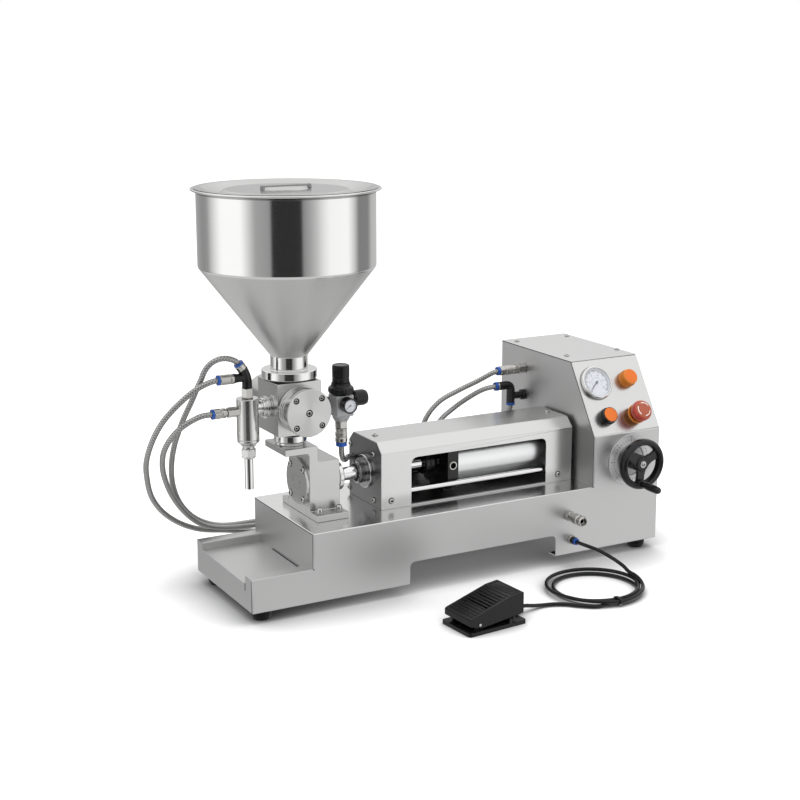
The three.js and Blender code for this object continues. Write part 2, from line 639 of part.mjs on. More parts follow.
piece('valve_body', valveBody(), machined());
piece('valve_cover', valveCover(), machined());
piece('valve_rotor', valveRotor(), polished());
piece('valve_actuator', valveActuator(), machined());
piece('valve_collar', valveCollar(), polished());

// Hopper, gasket and lid

function hopperShell() {
  const { wall, body, neck, neckTop, bodyFoot, rim, bead, top, bottom, flange, knuckle } = hopper;
  const flangeTop = bottom + hopper.flangeThick;
  // the rounded knuckle between the cone and the straight wall, as points on an arc
  const slope = Math.atan2(bodyFoot - neckTop, body - neck);
  const arc = (radius) => Array.from({ length: bendPoints }, (_, i) => {
    const angle = (slope - Math.PI / 2) * (1 - i / (bendPoints - 1));
    return [body - knuckle + radius * Math.cos(angle), bodyFoot + radius * Math.sin(angle)];
  });
  const outside = [
    [flange - edge, bottom], [flange, bottom + edge], [flange, flangeTop - edge], [flange - edge, flangeTop],
    [neck, flangeTop], [neck, neckTop], ...arc(knuckle),
    [body, top - bead * beadShares.under], [rim - bead, top - bead * beadShares.lower],
    [rim, top - bead * beadShares.wide], [rim, top - bead * beadShares.high], [rim - bead * beadShares.crown, top],
  ];
  const inside = [[body - wall, top], ...arc(knuckle - wall).reverse(), [neck - wall, neckTop], [neck - wall, bottom]];
  return onValveAxis(turned([...outside, ...inside, outside[0]], fine));
}

function lidShell() {
  const { edge: rim, thick, land, dish, dishDrop, crown, crownDrop, fall, fallDrop, well, wellDrop } = lid;
  const z = hopper.top + seat;
  const upper = [
    [0, -wellDrop], [well - fall, -wellDrop], [well, -crownDrop], [crown, -crownDrop],
    [crown + fall, -crownDrop - fallDrop], [dish, -dishDrop], [land, 0], [rim, 0],
  ];
  const below = upper.map(([radius, height]) => [radius, height + z]);
  const above = upper.map(([radius, height]) => [radius, height + z + thick]).reverse();
  const shell = onValveAxis(turned([...below, ...above], fine));
  const reach = strap.length / 2;
  const low = z - crownDrop + thick - seat;
  const under = low + seat + strap.leg;
  const over = under + strap.thick;
  const bow = outline([
    [-reach, low], [-reach + strap.leg, low], [-reach + strap.leg, under, strap.inner],
    [reach - strap.leg, under, strap.inner], [reach - strap.leg, low], [reach, low],
    [reach, over, strap.leg], [-reach, over, strap.leg],
  ]);
  const grip = alongY(bow, mainAxis.y - strap.width / 2, mainAxis.y + strap.width / 2);
  return join(shell, grip.translate([valveAxis.x, 0, 0]));
}

const gasketRing = () => {
  const low = valve.high + seat;
  return onValveAxis(tube(hopper.neck - hopper.wall, hopper.flange - gasket.inset, low, low + gasket.thick));
};

piece('hopper', hopperShell(), polished());
piece('hopper_gasket', gasketRing(), blackRubber());
piece('lid', lidShell(), polished());

// Filling nozzle

function nozzleBody() {
  const { body, low, top, bore, roof, cone, throat, edge: ease, boreFoot, throatHigh } = nozzle;
  const seal = low + seam.rise;
  const shell = onNozzle(turned([
    [throat, low], [body - cone, low], [body - ease, low + cone], [body, low + cone], [body, seal],
    [body - seam.deep, seal], [body - seam.deep, seal + seam.high], [body, seal + seam.high], [body, top - edge],
    [body - edge, top], [0, top], [0, top - roof], [bore, top - roof], [bore, low + boreFoot],
    [throat, low + throatHigh], [throat, low],
  ]));
  const reach = nozzle.reach - seat;
  const [ringFoot, ringLow, ringHigh] = union.ringShares.map((share) => share * reach);
  const coupler = at(toX(turned([
    [0, body / 2], [union.radius, body / 2], [union.radius, ringFoot], [union.ring, ringLow],
    [union.ring, ringHigh], [union.radius, reach], [0, reach],
  ])), nozzle.x, mainAxis.y, valveAxis.z);
  const side = (x) => [x, mainAxis.y, valveAxis.z - airEnd.drop];
  const wall = nozzle.x - body;
  const fitting = barrels([
    side(wall + airEnd.root),
    side(wall - airEnd.hexLong),
    side(wall - airEnd.hexLong - airEnd.bodyLong),
  ], [airEnd.hex, airEnd.body]);
  return cut(
    join(shell, coupler, fitting),
    onNozzle(rod(bore, low + boreFoot, top - roof)),
    at(toX(rod(union.paste, 0, reach + overrun, small)), nozzle.x, mainAxis.y, valveAxis.z),
  );
}

function nozzleSpout() {
  const { radius, bore, end } = spout;
  const { low, top, chamfer, ease, neck, shoulder } = nut;
  const inner = radius - edge;
  const belt = nut.radius - ease;
  return cut(
    join(
      onNozzle(tube(bore, radius, end, top, small)),
      onNozzle(prism(nut.radius, low + chamfer, top - neck)),
      onNozzle(turned([
        [inner, low], [nut.radius - chamfer, low], [belt, low + chamfer], [belt, top - neck],
        [nut.radius - shoulder, top], [inner, top], [inner, low],
      ], small)),
    ),
    onNozzle(rod(bore, end - overrun, top + overrun, small)),
  );
}

function nozzleNeedle() {
  const { rod: stem, head, headHigh, headThick, tip, tipLong, guide: land, neck, cone, shoulder } = needle;
  const shut = nozzle.throat - 2 * seat;
  const low = needle.seat;
  return onNozzle(turned([
    [0, low - tipLong], [tip, low - tipLong], [shut, low - seat], [shut, low + land],
    [cone, low + land + cone - tip], [stem, low + land + cone - tip + shoulder], [stem, headHigh - headThick],
    [head, headHigh - headThick], [head, headHigh], [0, headHigh],
  ], small));
}

function nozzleTee() {
  const spot = ([out, rise]) => [nozzle.x - out, mainAxis.y, nozzle.top + rise];
  const low = nozzle.top + seat;
  const hexTop = nozzle.top + tee.hexHigh;
  return join(
    onNozzle(prism(tee.hex, low, hexTop)),
    bar([nozzle.x, mainAxis.y, hexTop - tee.root], spot(teeArm.bend), tee.body),
    ball(tee.body, spot(teeArm.bend)),
    barrels([teeArm.bend, teeArm.neck, teeArm.mouth].map(spot), [tee.body, tee.mouth]),
    barrels([teeBranch.root, teeBranch.knee, teeBranch.mouth].map(spot), [tee.branch, tee.branchMouth]),
  );
}

piece('nozzle_body', nozzleBody(), polished());
piece('nozzle_spout', nozzleSpout(), polished());
piece('nozzle_needle', nozzleNeedle(), polished());
piece('nozzle_tee', nozzleTee(), blackPlastic());

// Piston drive under the window cover

// Outline of the housing seen from its end, drawn in by the given amount.
function housingOutline(inset, floor) {
  const trim = Math.tan(Math.PI / 8) * inset + housing.chamfer;
  return outline([
    [housing.front + inset, floor],
    [housing.back - inset, floor],
    [housing.back - inset, housing.top - trim],
    [housing.back - trim, housing.top - inset],
    [housing.front + trim, housing.top - inset],
    [housing.front + inset, housing.top - trim],
  ]);
}

function housingCover() {
  const { left, right, front } = housing;
  const low = base.deck + seat;
  const sill = base.deck + view.sill;
  return cut(
    alongX(housingOutline(0, low), left, right),
    alongX(housingOutline(housing.sheet, low - overrun), left - overrun, right + overrun),
    alongY(outline([
      [left + view.inset, sill],
      [right - view.end, sill],
      [right - view.end, base.deck + view.high, view.round],
      [left + view.inset, base.deck + view.high, view.round],
    ]), front - overrun, front + overrun),
  );
}

// A folded cradle: left end plate, floor and right end plate, inside the cover.
function housingFrame() {
  const { left, right, front, back, plate: thick } = housing;
  const inset = housing.sheet + seat;
  const floor = base.deck + seat;
  const hole = (radius, y, z) =>
    at(toX(rod(radius, left - overrun, left + thick + overrun)), 0, mainAxis.y + y, mainAxis.z + z);
  return cut(
    join(
      alongX(housingOutline(inset, floor), left, left + thick),
      alongX(housingOutline(inset, floor), right - thick, right),
      block([left + lap, front + inset, floor], [right - lap, back - inset, floor + housing.floor]),
    ),
    hole(gland.lip, 0, 0),
    hole(hose.air + hose.pass, hosePass.y, hosePass.z),
  );
}

function rodGland() {
  const { flange, flangeThick, barrel, lip, ease, long } = gland;
  const inner = rodSize.radius + seat;
  const foot0 = long - flangeThick;
  return onMainAxis(turned([
    [inner, 0], [lip, 0], [barrel, ease], [barrel, foot0], [flange - edge, foot0], [flange, foot0 + edge],
    [flange, long], [lip - seat, long], [lip - seat, long + housing.plate], [inner, long + housing.plate], [inner, 0],
  ]), housing.left - seat - long);
}

function guideRod(side) {
  const x0 = housing.left + housing.plate + seat;
  const x1 = housing.right - housing.plate - seat;
  return at(toX(rod(guide.radius, x0, x1, small)), 0, mainAxis.y + side * guide.reach, mainAxis.z - guide.drop);
}

// A square head of the air cylinder with chamfered corners, standing on the cradle's floor.
function cylinderHead(x0, x1) {
  const low = base.deck + 2 * seat + housing.floor;
  const { capHalf: half, capChamfer: ease } = air;
  const corners = [[1, -1], [1, 1], [-1, 1], [-1, -1]].flatMap(([y, z]) => {
    const side = [y * half, z * (half - ease)];
    const end = [y * (half - ease), z * half];
    return y === z ? [side, end] : [end, side];
  });
  const square = outline(corners.map(([y, z]) => [mainAxis.y + y, mainAxis.z + z]));
  const side = half - capFoot.sideShare * ease;
  const standing = block([x0 + capFoot.inset, mainAxis.y - side, low],
    [x1 - capFoot.inset, mainAxis.y + side, mainAxis.z - half + lap]);
  return alongX(square, x0, x1).add(standing);
}

function frontCap() {
  const x1 = air.tubeLeft - seat;
  const head = join(
    cylinderHead(air.left, x1),
    onMainAxis(rod(air.bore - seat, x1 - lap, x1 + airSpigot.long)),
    at(toX(rod(hoseBoss.radius, air.left - hoseBoss.long, air.left + lap, small)), 0, mainAxis.y + hoseBoss.y,
      mainAxis.z + hoseBoss.z),
  );
  const portAt = (geometry) =>
    at(toFront(geometry), (air.left + x1) / 2, mainAxis.y - air.capHalf, mainAxis.z - airPort.drop);
  const ring = airPort.radius + airPort.land;
  return cut(
    head,
    onMainAxis(rod(rodSize.air + seat, air.left - overrun, x1 + airSpigot.long + overrun)),
    portAt(rod(airPort.radius, -airPort.deep, overrun, small)),
    portAt(tube(ring, ring + airPort.ring, -airPort.ring, overrun, small)),
  );
}

// The tube of the air cylinder with its rear head, which stays on it.
const cylinderBarrel = () => join(
  onMainAxis(tube(air.bore, air.tube, air.tubeLeft, air.tubeRight + lap)),
  cylinderHead(air.tubeRight, air.right),
  onMainAxis(rod(airSpigot.seal, air.right - lap, housing.right - housing.plate - seat, small)),
);

function materialPiston() {
  const { long, groove, grooveDeep, ringShares } = packing;
  const radius = chamber.bore - seat;
  const screw = rodSize.radius * rodSize.screwShare;
  const grooves = ringShares.flatMap((share) => [
    [radius, long * share], [radius - grooveDeep, long * share],
    [radius - grooveDeep, long * share + groove], [radius, long * share + groove],
  ]);
  return onMainAxis(turned([
    [0, 0], [radius - edge, 0], [radius, edge], ...grooves, [radius, long], [screw, long],
    [screw, long * rodSize.screwLongShare], [0, long * rodSize.screwLongShare],
  ]), packing.left);
}

function pistonRod() {
  const tip = packing.left + packing.long * rodSize.screwLongShare + seat;
  const shoulder = packing.right + seat;
  const end = coupling.left + coupling.grip;
  const screw = rodSize.radius * rodSize.screwShare - seat;
  return onMainAxis(turned([
    [0, tip], [screw, tip], [screw, shoulder], [rodSize.radius, shoulder], [rodSize.radius, end], [0, end],
  ], small));
}

function rodCoupling() {
  const { left, right, radius, neck, ease, grip, airGrip, shoulder, shoulderLong } = coupling;
  const deep = left + grip + seat;
  const airEnd0 = right - airGrip;
  return onMainAxis(turned([
    [rodSize.radius + seat, left], [radius - ease, left], [radius, left + ease], [radius, right - shoulder],
    [neck, right - shoulder + shoulderLong], [neck, right], [rodSize.air + seat, right],
    [rodSize.air + seat, airEnd0], [0, airEnd0], [0, deep], [rodSize.radius + seat, deep],
    [rodSize.radius + seat, left],
  ]));
}

function airPiston() {
  const { thick, gap, groove, grooveShares: [from, to] } = airPistonSize;
  const start = coupling.right - coupling.airGrip + seat;
  const face = air.tubeRight - airSpigot.long - gap;
  const radius = air.bore - seat;
  return onMainAxis(turned([
    [0, start], [rodSize.air, start], [rodSize.air, face], [radius, face], [radius, face + thick * from],
    [radius - groove, face + thick * from], [radius - groove, face + thick * to], [radius, face + thick * to],
    [radius, face + thick], [0, face + thick],
  ]));
}

piece('housing_cover', housingCover(), brushed());
piece('housing_frame', housingFrame(), brushed());
piece('rod_gland', rodGland(), machined());
piece('guide_rod_front', guideRod(-1), chromed());
piece('guide_rod_rear', guideRod(1), chromed());
piece('cylinder_front_cap', frontCap(), blackPlastic());
piece('cylinder_barrel', cylinderBarrel(), anodised());
piece('material_piston', materialPiston(), ivory());
piece('piston_rod', pistonRod(), chromed());
piece('rod_coupling', rodCoupling(), blackPlastic());
piece('air_piston', airPiston(), machined());

// Regulator beside the valve

function regulatorArm() {
  const side = valveAxis.x + valve.half + seat;
  const back = regulator.y + regulator.half - seat;
  const low = valveAxis.z - arm.drop;
  const high = low + arm.high;
  return join(
    block([side, back - arm.reach, low], [side + arm.thick, back + arm.thick, high]),
    block([side, back, low], [regulator.x + regulator.half, back + arm.thick, high]),
  );
}

function regulatorBody() {
  const { x, y, half, foot: low, head: high, step, stepHigh, bonnetFoot } = regulator;
  const { radius, belt, draw, top } = bonnet;
  const standing = (geometry) => at(geometry, x, y, 0);
  const hexLow = low - drain.hexLong;
  const sleeveLow = hexLow - drain.sleeveLong;
  const inner = half - step;
  const throat = drain.sleeve - drain.ease;
  return cut(
    join(
      block([x - half, y - half, low], [x + half, y + half, high]),
      standing(turned([
        [0, high - step], [inner, high - step], [inner, high + stepHigh], [radius, high + bonnetFoot],
        [radius, high + belt], [radius - draw, top], [0, top],
      ])),
      standing(prism(drain.hex, hexLow + drain.ease, low + lap)),
      standing(turned([
        [0, sleeveLow - drain.ringLong], [drain.ring, sleeveLow - drain.ringLong], [drain.ring, sleeveLow],
        [drain.sleeve, sleeveLow + drain.ease], [drain.sleeve, hexLow - drain.collar], [throat, hexLow],
        [throat, hexLow + drain.neck], [0, hexLow + drain.neck],
      ], small)),
    ),
    standing(rod(knob.stem + seat, top - knob.stemLong - knob.stemGap, top + overrun)),
    at(toX(rod(sideKnob.stem + seat, half - sideKnob.stemLong - sideKnob.stemGap, half + overrun, small)),
      x, y, valveAxis.z + sideKnob.rise),
    at(toFront(rod(smallGauge.stem + seat, -smallGauge.stemLong - sideKnob.stemGap, overrun, small)),
      x, y - half, valveAxis.z - smallGauge.drop),
    ).add(regulatorArm());
}

// A knob about its own axis, measured from the face that it stands on.
function gripKnob(radius, from, to, stem, stemLong) {
  return join(
    solid(knurled(radius, knob.knurl, from, to - knob.crown, knob.count)),
    solid(rod(radius - knob.crown, to - knob.crown - lap, to, small)),
    solid(rod(stem, -stemLong, from + 2 * lap, small)),
  );
}

// The small gauge: a case with a sunk dial, about its own axis, measured from the body's front face.
function regulatorGauge() {
  const { radius, boss, draw, long, rim, sink, stem, stemLong } = smallGauge;
  return cut(
    solid(turned([
      [0, seat], [boss, seat], [radius, seat + draw], [radius, long - edge], [radius - edge, long], [0, long],
    ])),
    solid(rod(radius - rim, long - sink, long + overrun)),
  ).add(solid(rod(stem, -stemLong, seat + lap, tiny)));
}

function gaugeHand({ length, width, thick }) {
  const tail = -width * handShares.tail;
  const root = width * handShares.root;
  const tip = width * handShares.tip;
  const blade = outline([[tail, -root], [tail, root], [length, tip], [length, -tip]]);
  return join(solid(extruded(blade, thick)), solid(rod(width, 0, thick, tiny)));
}

piece('regulator_body', regulatorBody(), grey());
piece('regulator_knob', gripKnob(knob.radius, seat, knob.high, knob.stem, knob.stemLong), blackPlastic())
  .position.set(regulator.x, regulator.y, bonnet.top);
const sideGrip = piece('regulator_side_knob',
  gripKnob(sideKnob.radius, sideKnob.gap, sideKnob.gap + sideKnob.long, sideKnob.stem, sideKnob.stemLong),
  blackPlastic());
sideGrip.rotation.y = Math.PI / 2;
sideGrip.position.set(regulator.x + regulator.half, regulator.y, valveAxis.z + sideKnob.rise);

const gaugeGroup = new THREE.Group();          // z towards the front
gaugeGroup.rotation.x = Math.PI / 2;
gaugeGroup.position.set(regulator.x, regulator.y - regulator.half, valveAxis.z - smallGauge.drop);
machine.add(gaugeGroup);
piece('regulator_gauge', regulatorGauge(), blackPlastic(), gaugeGroup);
const smallPointer = piece('regulator_gauge_needle', gaugeHand(smallHand), blackPlastic(), gaugeGroup);
smallPointer.position.z = smallGauge.long - smallGauge.sink + seat;
smallPointer.rotation.z = smallHand.turnShare * Math.PI;

// Controls on the panel

function gaugeCase() {
  const { bezel, rim, case: barrel, deep, face, sink, ease, pivot, pivotDeep } = gauge;
  return cut(
    solid(turned([
      [0, -deep], [barrel - ease, -deep], [barrel, ease - deep], [barrel, seat], [bezel, seat],
      [bezel, rim - ease], [bezel - ease, rim], [0, rim],
    ], fine)),
    solid(rod(face, rim - sink, rim + overrun, fine)),
    solid(rod(pivot + seat, rim - sink - pivotDeep, rim, tiny)),
  );
}

function pushCap(radius, high) {
  const { stem, stemDeep, rim, gap, edge: ease } = button;
  const low = rim + seat + gap;
  return solid(turned([
    [0, -stemDeep], [stem, -stemDeep], [stem, low], [radius, low], [radius, high - ease], [radius - ease, high],
    [0, high],
  ], small));
}

function stopHead() {
  const { stem, stemDeep, throat, throatFoot, flare, head, high, belt, crown } = stop;
  const brim = high * crownShares.brim;
  const foot0 = throatFoot + flare;
  return solid(turned([
    [0, -stemDeep], [stem, -stemDeep], [stem, throatFoot], [throat, foot0], [head - flare, foot0 + 2 * flare],
    [head, brim], [head, high * crownShares.belt], [head - belt / 2, high * crownShares.shoulder],
    [head * crownShares.browIn + flare, high * crownShares.brow], [0, high],
  ]));
}

const placed = (mesh, [x, up], z = 0) => {
  mesh.position.set(x, up, z);
  return mesh;
};

function gaugePointer() {
  return join(gaugeHand(hand), solid(rod(gauge.pivot, -hand.pivotIn, hand.thick * handShares.overlap, tiny)));
}

placed(piece('gauge_case', gaugeCase(), polished(), panel), onPanel.gauge);
placed(piece('gauge_needle', gaugePointer(), blackPlastic(), panel), onPanel.gauge, gauge.rim - gauge.sink + seat)
  .rotation.z = hand.turnShare * Math.PI;
placed(piece('start_button', pushCap(button.start, button.startHigh), orange(), panel), onPanel.start);
placed(piece('power_button', pushCap(button.power, button.powerHigh), orange(), panel), onPanel.power);
placed(piece('stop_button', stopHead(), red(), panel), onPanel.stop);

// Dial ring and handwheel

const crankPlace = [crank.reach * Math.cos(crank.angle), crank.reach * Math.sin(crank.angle)];

function handwheel() {
  const { outer, rimWide, front, back, hub, hubFront, web, webThick, spoke, boss } = wheel;
  const { round: soft, corner, side, lip, well } = rimShares;
  const inner = outer - rimWide;
  const rim = solid(turned([
    [inner, back + rimWide * lip], [outer - rimWide * soft, back], [outer - rimWide * corner, back + rimWide * corner],
    [outer, back + rimWide * side], [outer, front - rimWide * soft],
    [outer - rimWide * lip, front - rimWide * corner / 2], [outer - rimWide * well, front],
    [inner + rimWide * corner, front - rimWide * corner - edge], [inner, front - rimWide * well],
    [inner, back + rimWide * lip],
  ], fine));
  const blade = rectangle(hub / 2, -spoke / 2, inner + lap, spoke / 2);
  const spokes = ringOf(3, 1, crank.angle).map(([x, y]) =>
    solid(extruded(blade, webThick).translate(0, 0, web).rotateZ(Math.atan2(y, x))));
  return cut(
    join(
      rim,
      ...spokes,
      solid(rod(hub, web - wheel.hubBack, hubFront, small)),
      solid(rod(boss, dial.thick + 2 * seat, web, small)),
      solid(rod(wheel.shaft, -wheel.inside, web, small)),
      solid(rod(crank.lug, back + rimWide * lip, front - 2 * edge, small).translate(...crankPlace, 0)),
    ),
    solid(rod(crank.pin + seat, back, front + overrun, tiny).translate(...crankPlace, 0)),
  );
}

function crankHandle() {
  const { pin: stem, thin, radius, start, end, flare, cap, crown } = crank;
  const low = wheel.back + wheel.rimWide * rimShares.lip;
  return solid(turned([
    [0, low], [stem, low], [stem, start], [thin, start], [radius, start + flare], [radius, end - cap],
    [radius - crown, end], [0, end],
  ], small));
}

const controls = new THREE.Group();            // z out of the front wall
controls.position.set(dial.x, 0, dial.z);
controls.rotation.x = Math.PI / 2;
machine.add(controls);
piece('dial_ring', tube(dial.inner, dial.outer, seat, seat + dial.thick, fine), machined(), controls);
piece('handwheel', handwheel(), blackPlastic(), controls);
piece('handwheel_handle', crankHandle(), blackPlastic(), controls).position.set(...crankPlace, 0);

// Fittings in the walls

// A screwed fitting standing on a wall at z = 0, with its tail through the wall.
function fitting({ thread, tail, hex, hexLong, body, long }) {
  return join(
    solid(rod(thread, -sheet - tail, lap, small)),
    solid(prism(hex, seat, hexLong)),
    solid(turned([
      [0, hexLong - lap], [body, hexLong - lap], [body, long - edge], [body - edge, long], [0, long],
    ], small)),
  );
}

const inletSocket = () => cut(
  fitting(inlet),
  solid(rod(inlet.bore, inlet.long - inlet.boreDeep, inlet.long + overrun, small)),
);

// The sleeve that slides back to let a plug go.
function inletSleeve() {
  const { gap, radius, small: less, groove, over } = sleeve;
  const { first, second, belt, dip, dipEnd, rise, nose } = sleeveShares;
  const from = inlet.hexLong + gap;
  const to = inlet.long + over;
  const inner = inlet.body + seat;
  const up = (share) => from + (to - from) * share;
  return solid(turned([
    [inner, from], [radius - less, from], [radius - less, up(first)], [radius, up(second)], [radius, up(belt)],
    [radius - groove, up(dip)], [radius - groove, up(dipEnd)], [radius, up(rise)], [radius, up(nose)],
    [radius - groove, to], [inner, to], [inner, from],
  ]));
}

const frontFittings = new THREE.Group();       // z out of the front wall
frontFittings.rotation.x = Math.PI / 2;
machine.add(frontFittings);
placed(piece('inlet_socket', inletSocket(), nickel(), frontFittings), [inlet.x, inlet.z]);
placed(piece('inlet_sleeve', inletSleeve(), nickel(), frontFittings), [inlet.x, inlet.z]);
placed(piece('pedal_port', fitting(pedalPort), blackPlastic(), frontFittings), [pedalPort.x, pedalPort.z]);

const straightPort = piece('side_fitting_straight', fitting(sidePort), nickel());
straightPort.rotation.y = -Math.PI / 2;
straightPort.position.set(cabinet.left, sidePort.y, sidePort.z);

function sideFittingTee() {
  const { x, z, reach, below, above, radius, flange, flangeLong, tail } = elbow;
  const spot = (across, up) => [across, sidePort.y, z + up];
  return join(
    bar(spot(cabinet.left + sheet + tail, 0), spot(x, 0), sidePort.thread),
    bar(spot(cabinet.left - seat, 0), spot(cabinet.left - flangeLong, 0), flange),
    bar(spot(x, -below), spot(x, above), radius),
    ball(radius, spot(x, above)),
    bar(spot(x, above), spot(cabinet.left - reach, above), radius),
  );
}
piece('side_fitting_tee', sideFittingTee(), blackPlastic());

// Foot pedal

const pedalGroup = new THREE.Group();
pedalGroup.position.set(pedal.x, pedal.y, 0);
pedalGroup.rotation.z = pedal.turn;
machine.add(pedalGroup);

// Base plate with the two cheeks that carry the pin, the air valve and the gland of the hose.
function pedalBase() {
  const long = pedal.length / 2;
  const wide = pedal.width / 2;
  const low = pedal.plate - lap;
  const cheekTop = pin.z + pin.cheekOver;
  const cheekOuter = wide - pedal.inset - pedal.wall - 2 * seat;
  const cheek = (side) => {
    const shape = outline([
      [pin.x - pin.cheekFoot, low], [pin.x + pin.cheekFoot, low],
      [pin.x + pin.cheekHead, cheekTop, pin.round], [pin.x - pin.cheekHead, cheekTop, pin.round],
    ]);
    const faces = [side * cheekOuter, side * (cheekOuter - pin.cheek)].sort((a, b) => a - b);
    return alongY(shape, ...faces);
  };
  const pinEnd = wide - pedal.inset + pin.over;
  const end = long - pedal.inset - pedal.wall - pedalValve.back;
  return join(
    alongZ(rectangle(-long, -wide, long, wide, pedal.round), 0, pedal.plate),
    cheek(-1),
    cheek(1),
    bar([pin.x, -pinEnd, pin.z], [pin.x, pinEnd, pin.z], pin.radius, tiny),
    block([end - pedalValve.long, -pedalValve.half, low], [end, pedalValve.half, pedalValve.top]),
    at(rod(pedalValve.stem, pedalValve.top - lap, pedalValve.top + pedalValve.stemHigh, tiny),
      end - pedalValve.long / 2, 0, 0),
    at(toX(rod(pedalGland.radius, end - lap, long + pedalGland.long, small)), 0, 0, pedalGland.z),
  );
}

// The treadle is a hood, open below, hinged on the pin near its toe.
function pedalTreadle() {
  const long = pedal.length / 2 - pedal.inset;
  const wide = pedal.width / 2 - pedal.inset;
  const low = pedal.plate + hood.low;
  const bendX = hood.bendAt - pedal.length / 2;
  const profile = (inset, open) => outline([
    [inset - long, hood.toeLow - open],
    [pin.x + hood.pinBack, low - open],
    [long - inset, low + hood.lift - open],
    [long - inset, hood.heel - inset, open ? 0 : hood.edge],
    [bendX, hood.bend - inset],
    [inset - long, hood.toe - inset, open ? 0 : hood.edge],
  ]);
  const shell = cut(
    alongY(profile(0, 0), -wide, wide),
    alongY(profile(pedal.wall, hood.open), pedal.wall - wide, wide - pedal.wall),
    at(toY(rod(pin.radius + seat, -wide - overrun, wide + overrun, tiny)), pin.x, 0, pin.z),
    // the heel wall is open where the gland comes out
    block([long - pedal.wall - overrun, -pedalGland.slot, 0],
      [long + overrun, pedalGland.slot, pedalGland.z + pedalGland.slotOver]),
  );
  const slope = Math.atan2(hood.bend - hood.toe, bendX + long);
  const run = Math.hypot(bendX + long, hood.bend - hood.toe);
  const bead = alongY(rectangle(-rib.half, -rib.half, rib.half, rib.rise), rib.margin - wide, wide - rib.margin);
  const ribs = Array.from({ length: rib.count }, (_, i) => {
    const along = run * (rib.firstShare + (rib.runShare * i) / (rib.count - 1));
    const place = new THREE.Vector3(along * Math.cos(slope) - long, 0, hood.toe + along * Math.sin(slope));
    return moved(bead, new THREE.Matrix4().makeRotationY(-slope).setPosition(place));
  });
  return join(shell, ...ribs);
}

piece('pedal_base', pedalBase(), pedalBlack(), pedalGroup);
piece('pedal_treadle', pedalTreadle(), pedalBlack(), pedalGroup);

// Hoses

machine.add(hoses);

// A tube along a smooth line through points chosen by hand.
function hosePiece(name, places, radius, material, spacing) {
  const line = new THREE.CatmullRomCurve3(places.map((place) => new THREE.Vector3(...place)), false, 'centripetal');
  const steps = Math.round(line.getLength() / spacing);
  const circle = new THREE.Shape().setFromPoints(
    ringOf(hoseSides, radius).map(([x, y]) => new THREE.Vector2(x, y)));
  const geometry = new THREE.ExtrudeGeometry(circle, { steps, extrudePath: line, bevelEnabled: false });
  piece(name, solid(geometry), material, hoses);
}

hosePiece('nozzle_hose_upper', [
  [39.1, 127, 427.7], [37.3, 127, 430.2], [33.2, 126.6, 434], [24.5, 126.5, 438.3], [13.4, 127.8, 440.8],
  [0.8, 130.2, 439.1], [-11.1, 133.9, 432.1], [-20.1, 138.5, 419.1], [-24.2, 143.9, 404.7], [-29.4, 150.8, 388.5],
  [-36.1, 161, 364.5],
  [-46.2, 178, 329.4], [-54.1, 207, 275.5], [-54, 226, 231], [-44, 247, 188.6], [-24, 265, 147.4],
  [10.5, 281, 110.9], [59.8, 291, 87.8], [150, 296, 82], [300, 297, 80], [410, 297, 88], [462, 296, 120],
  [488, 294, 180], [504, 290, 240], [532, 286, 272], [572, 277, 293], [608, 261, 312], [630, 248, 326.5],
  [639, 244.2, 330.6], [645.7, 244, 331],
], hose.air, braid(), hose.airStep);

hosePiece('nozzle_hose_middle', [
  [1.6, 127, 403.4], [-7, 127.1, 403.2], [-18, 131, 399.4], [-36.4, 138, 389.2], [-60.4, 150, 367.3],
  [-85.4, 166, 335.3], [-100.3, 185, 298.3], [-107, 205, 255], [-101, 224, 220], [-87, 243, 177],
  [-61, 259, 140], [-23, 271, 109], [18.6, 279, 89.3], [66, 283, 79], [140, 284, 66], [320, 284, 62],
  [440, 284, 78], [496, 284, 130], [514, 284, 190], [532, 284, 232], [562, 281, 256], [590, 268, 278],
  [614, 252, 295], [632, 244.1, 299.9], [641.6, 244, 300],
], hose.air, braid(), hose.airStep);

hosePiece('nozzle_hose_lower', [
  [-10.6, 127, 345], [-18, 127.4, 344.8], [-31, 131, 343], [-55.7, 141, 329.5], [-73.8, 156, 308.4],
  [-84.1, 176, 277.7], [-80.5, 198, 242.1], [-66.2, 219, 203.8], [-46, 238, 167.6], [-16.8, 254, 130.4],
  [14, 266, 104.5], [50.8, 270, 90.5], [120, 270, 84], [340, 270, 84], [480, 270, 96], [560, 270, 130],
  [610, 268, 178], [646, 258, 214], [668, 247, 240], [673.6, 244.2, 254], [674, 244, 263.7],
], hose.air, braid(), hose.airStep);

hosePiece('regulator_hose', [
  [224, 105, 263.7], [224, 105, 258.5], [225.3, 106.9, 250], [229.4, 112.2, 240.1], [237.6, 122.2, 232],
  [249.9, 137.1, 228.9], [261.2, 152.4, 227.8], [272.5, 163.8, 222.9], [283, 170.8, 219.9], [296.1, 175.7, 219.5],
  [315, 176.2, 220.5], [340, 171.5, 223.5], [368, 164, 227.5], [395, 158, 230.6], [410, 155.2, 231.9],
  [417.7, 155, 232],
], hose.air, braid(), hose.shortStep);

hosePiece('pedal_hose_lead', [
  [657, -15.3, 49], [657.6, -24, 48.6], [664, -38, 46.6], [678, -58, 41], [692, -84, 31], [699, -108, 22],
  [698, -132, 18],
], hose.pedal, blackRubber(), hose.pedalStep);

piece('pedal_hose_coil', tube(coil.radius - hose.pedal, coil.radius + hose.pedal, coil.floor, coil.top, fine),
  blackRubber(), hoses).position.set(coil.x, coil.y, 0);

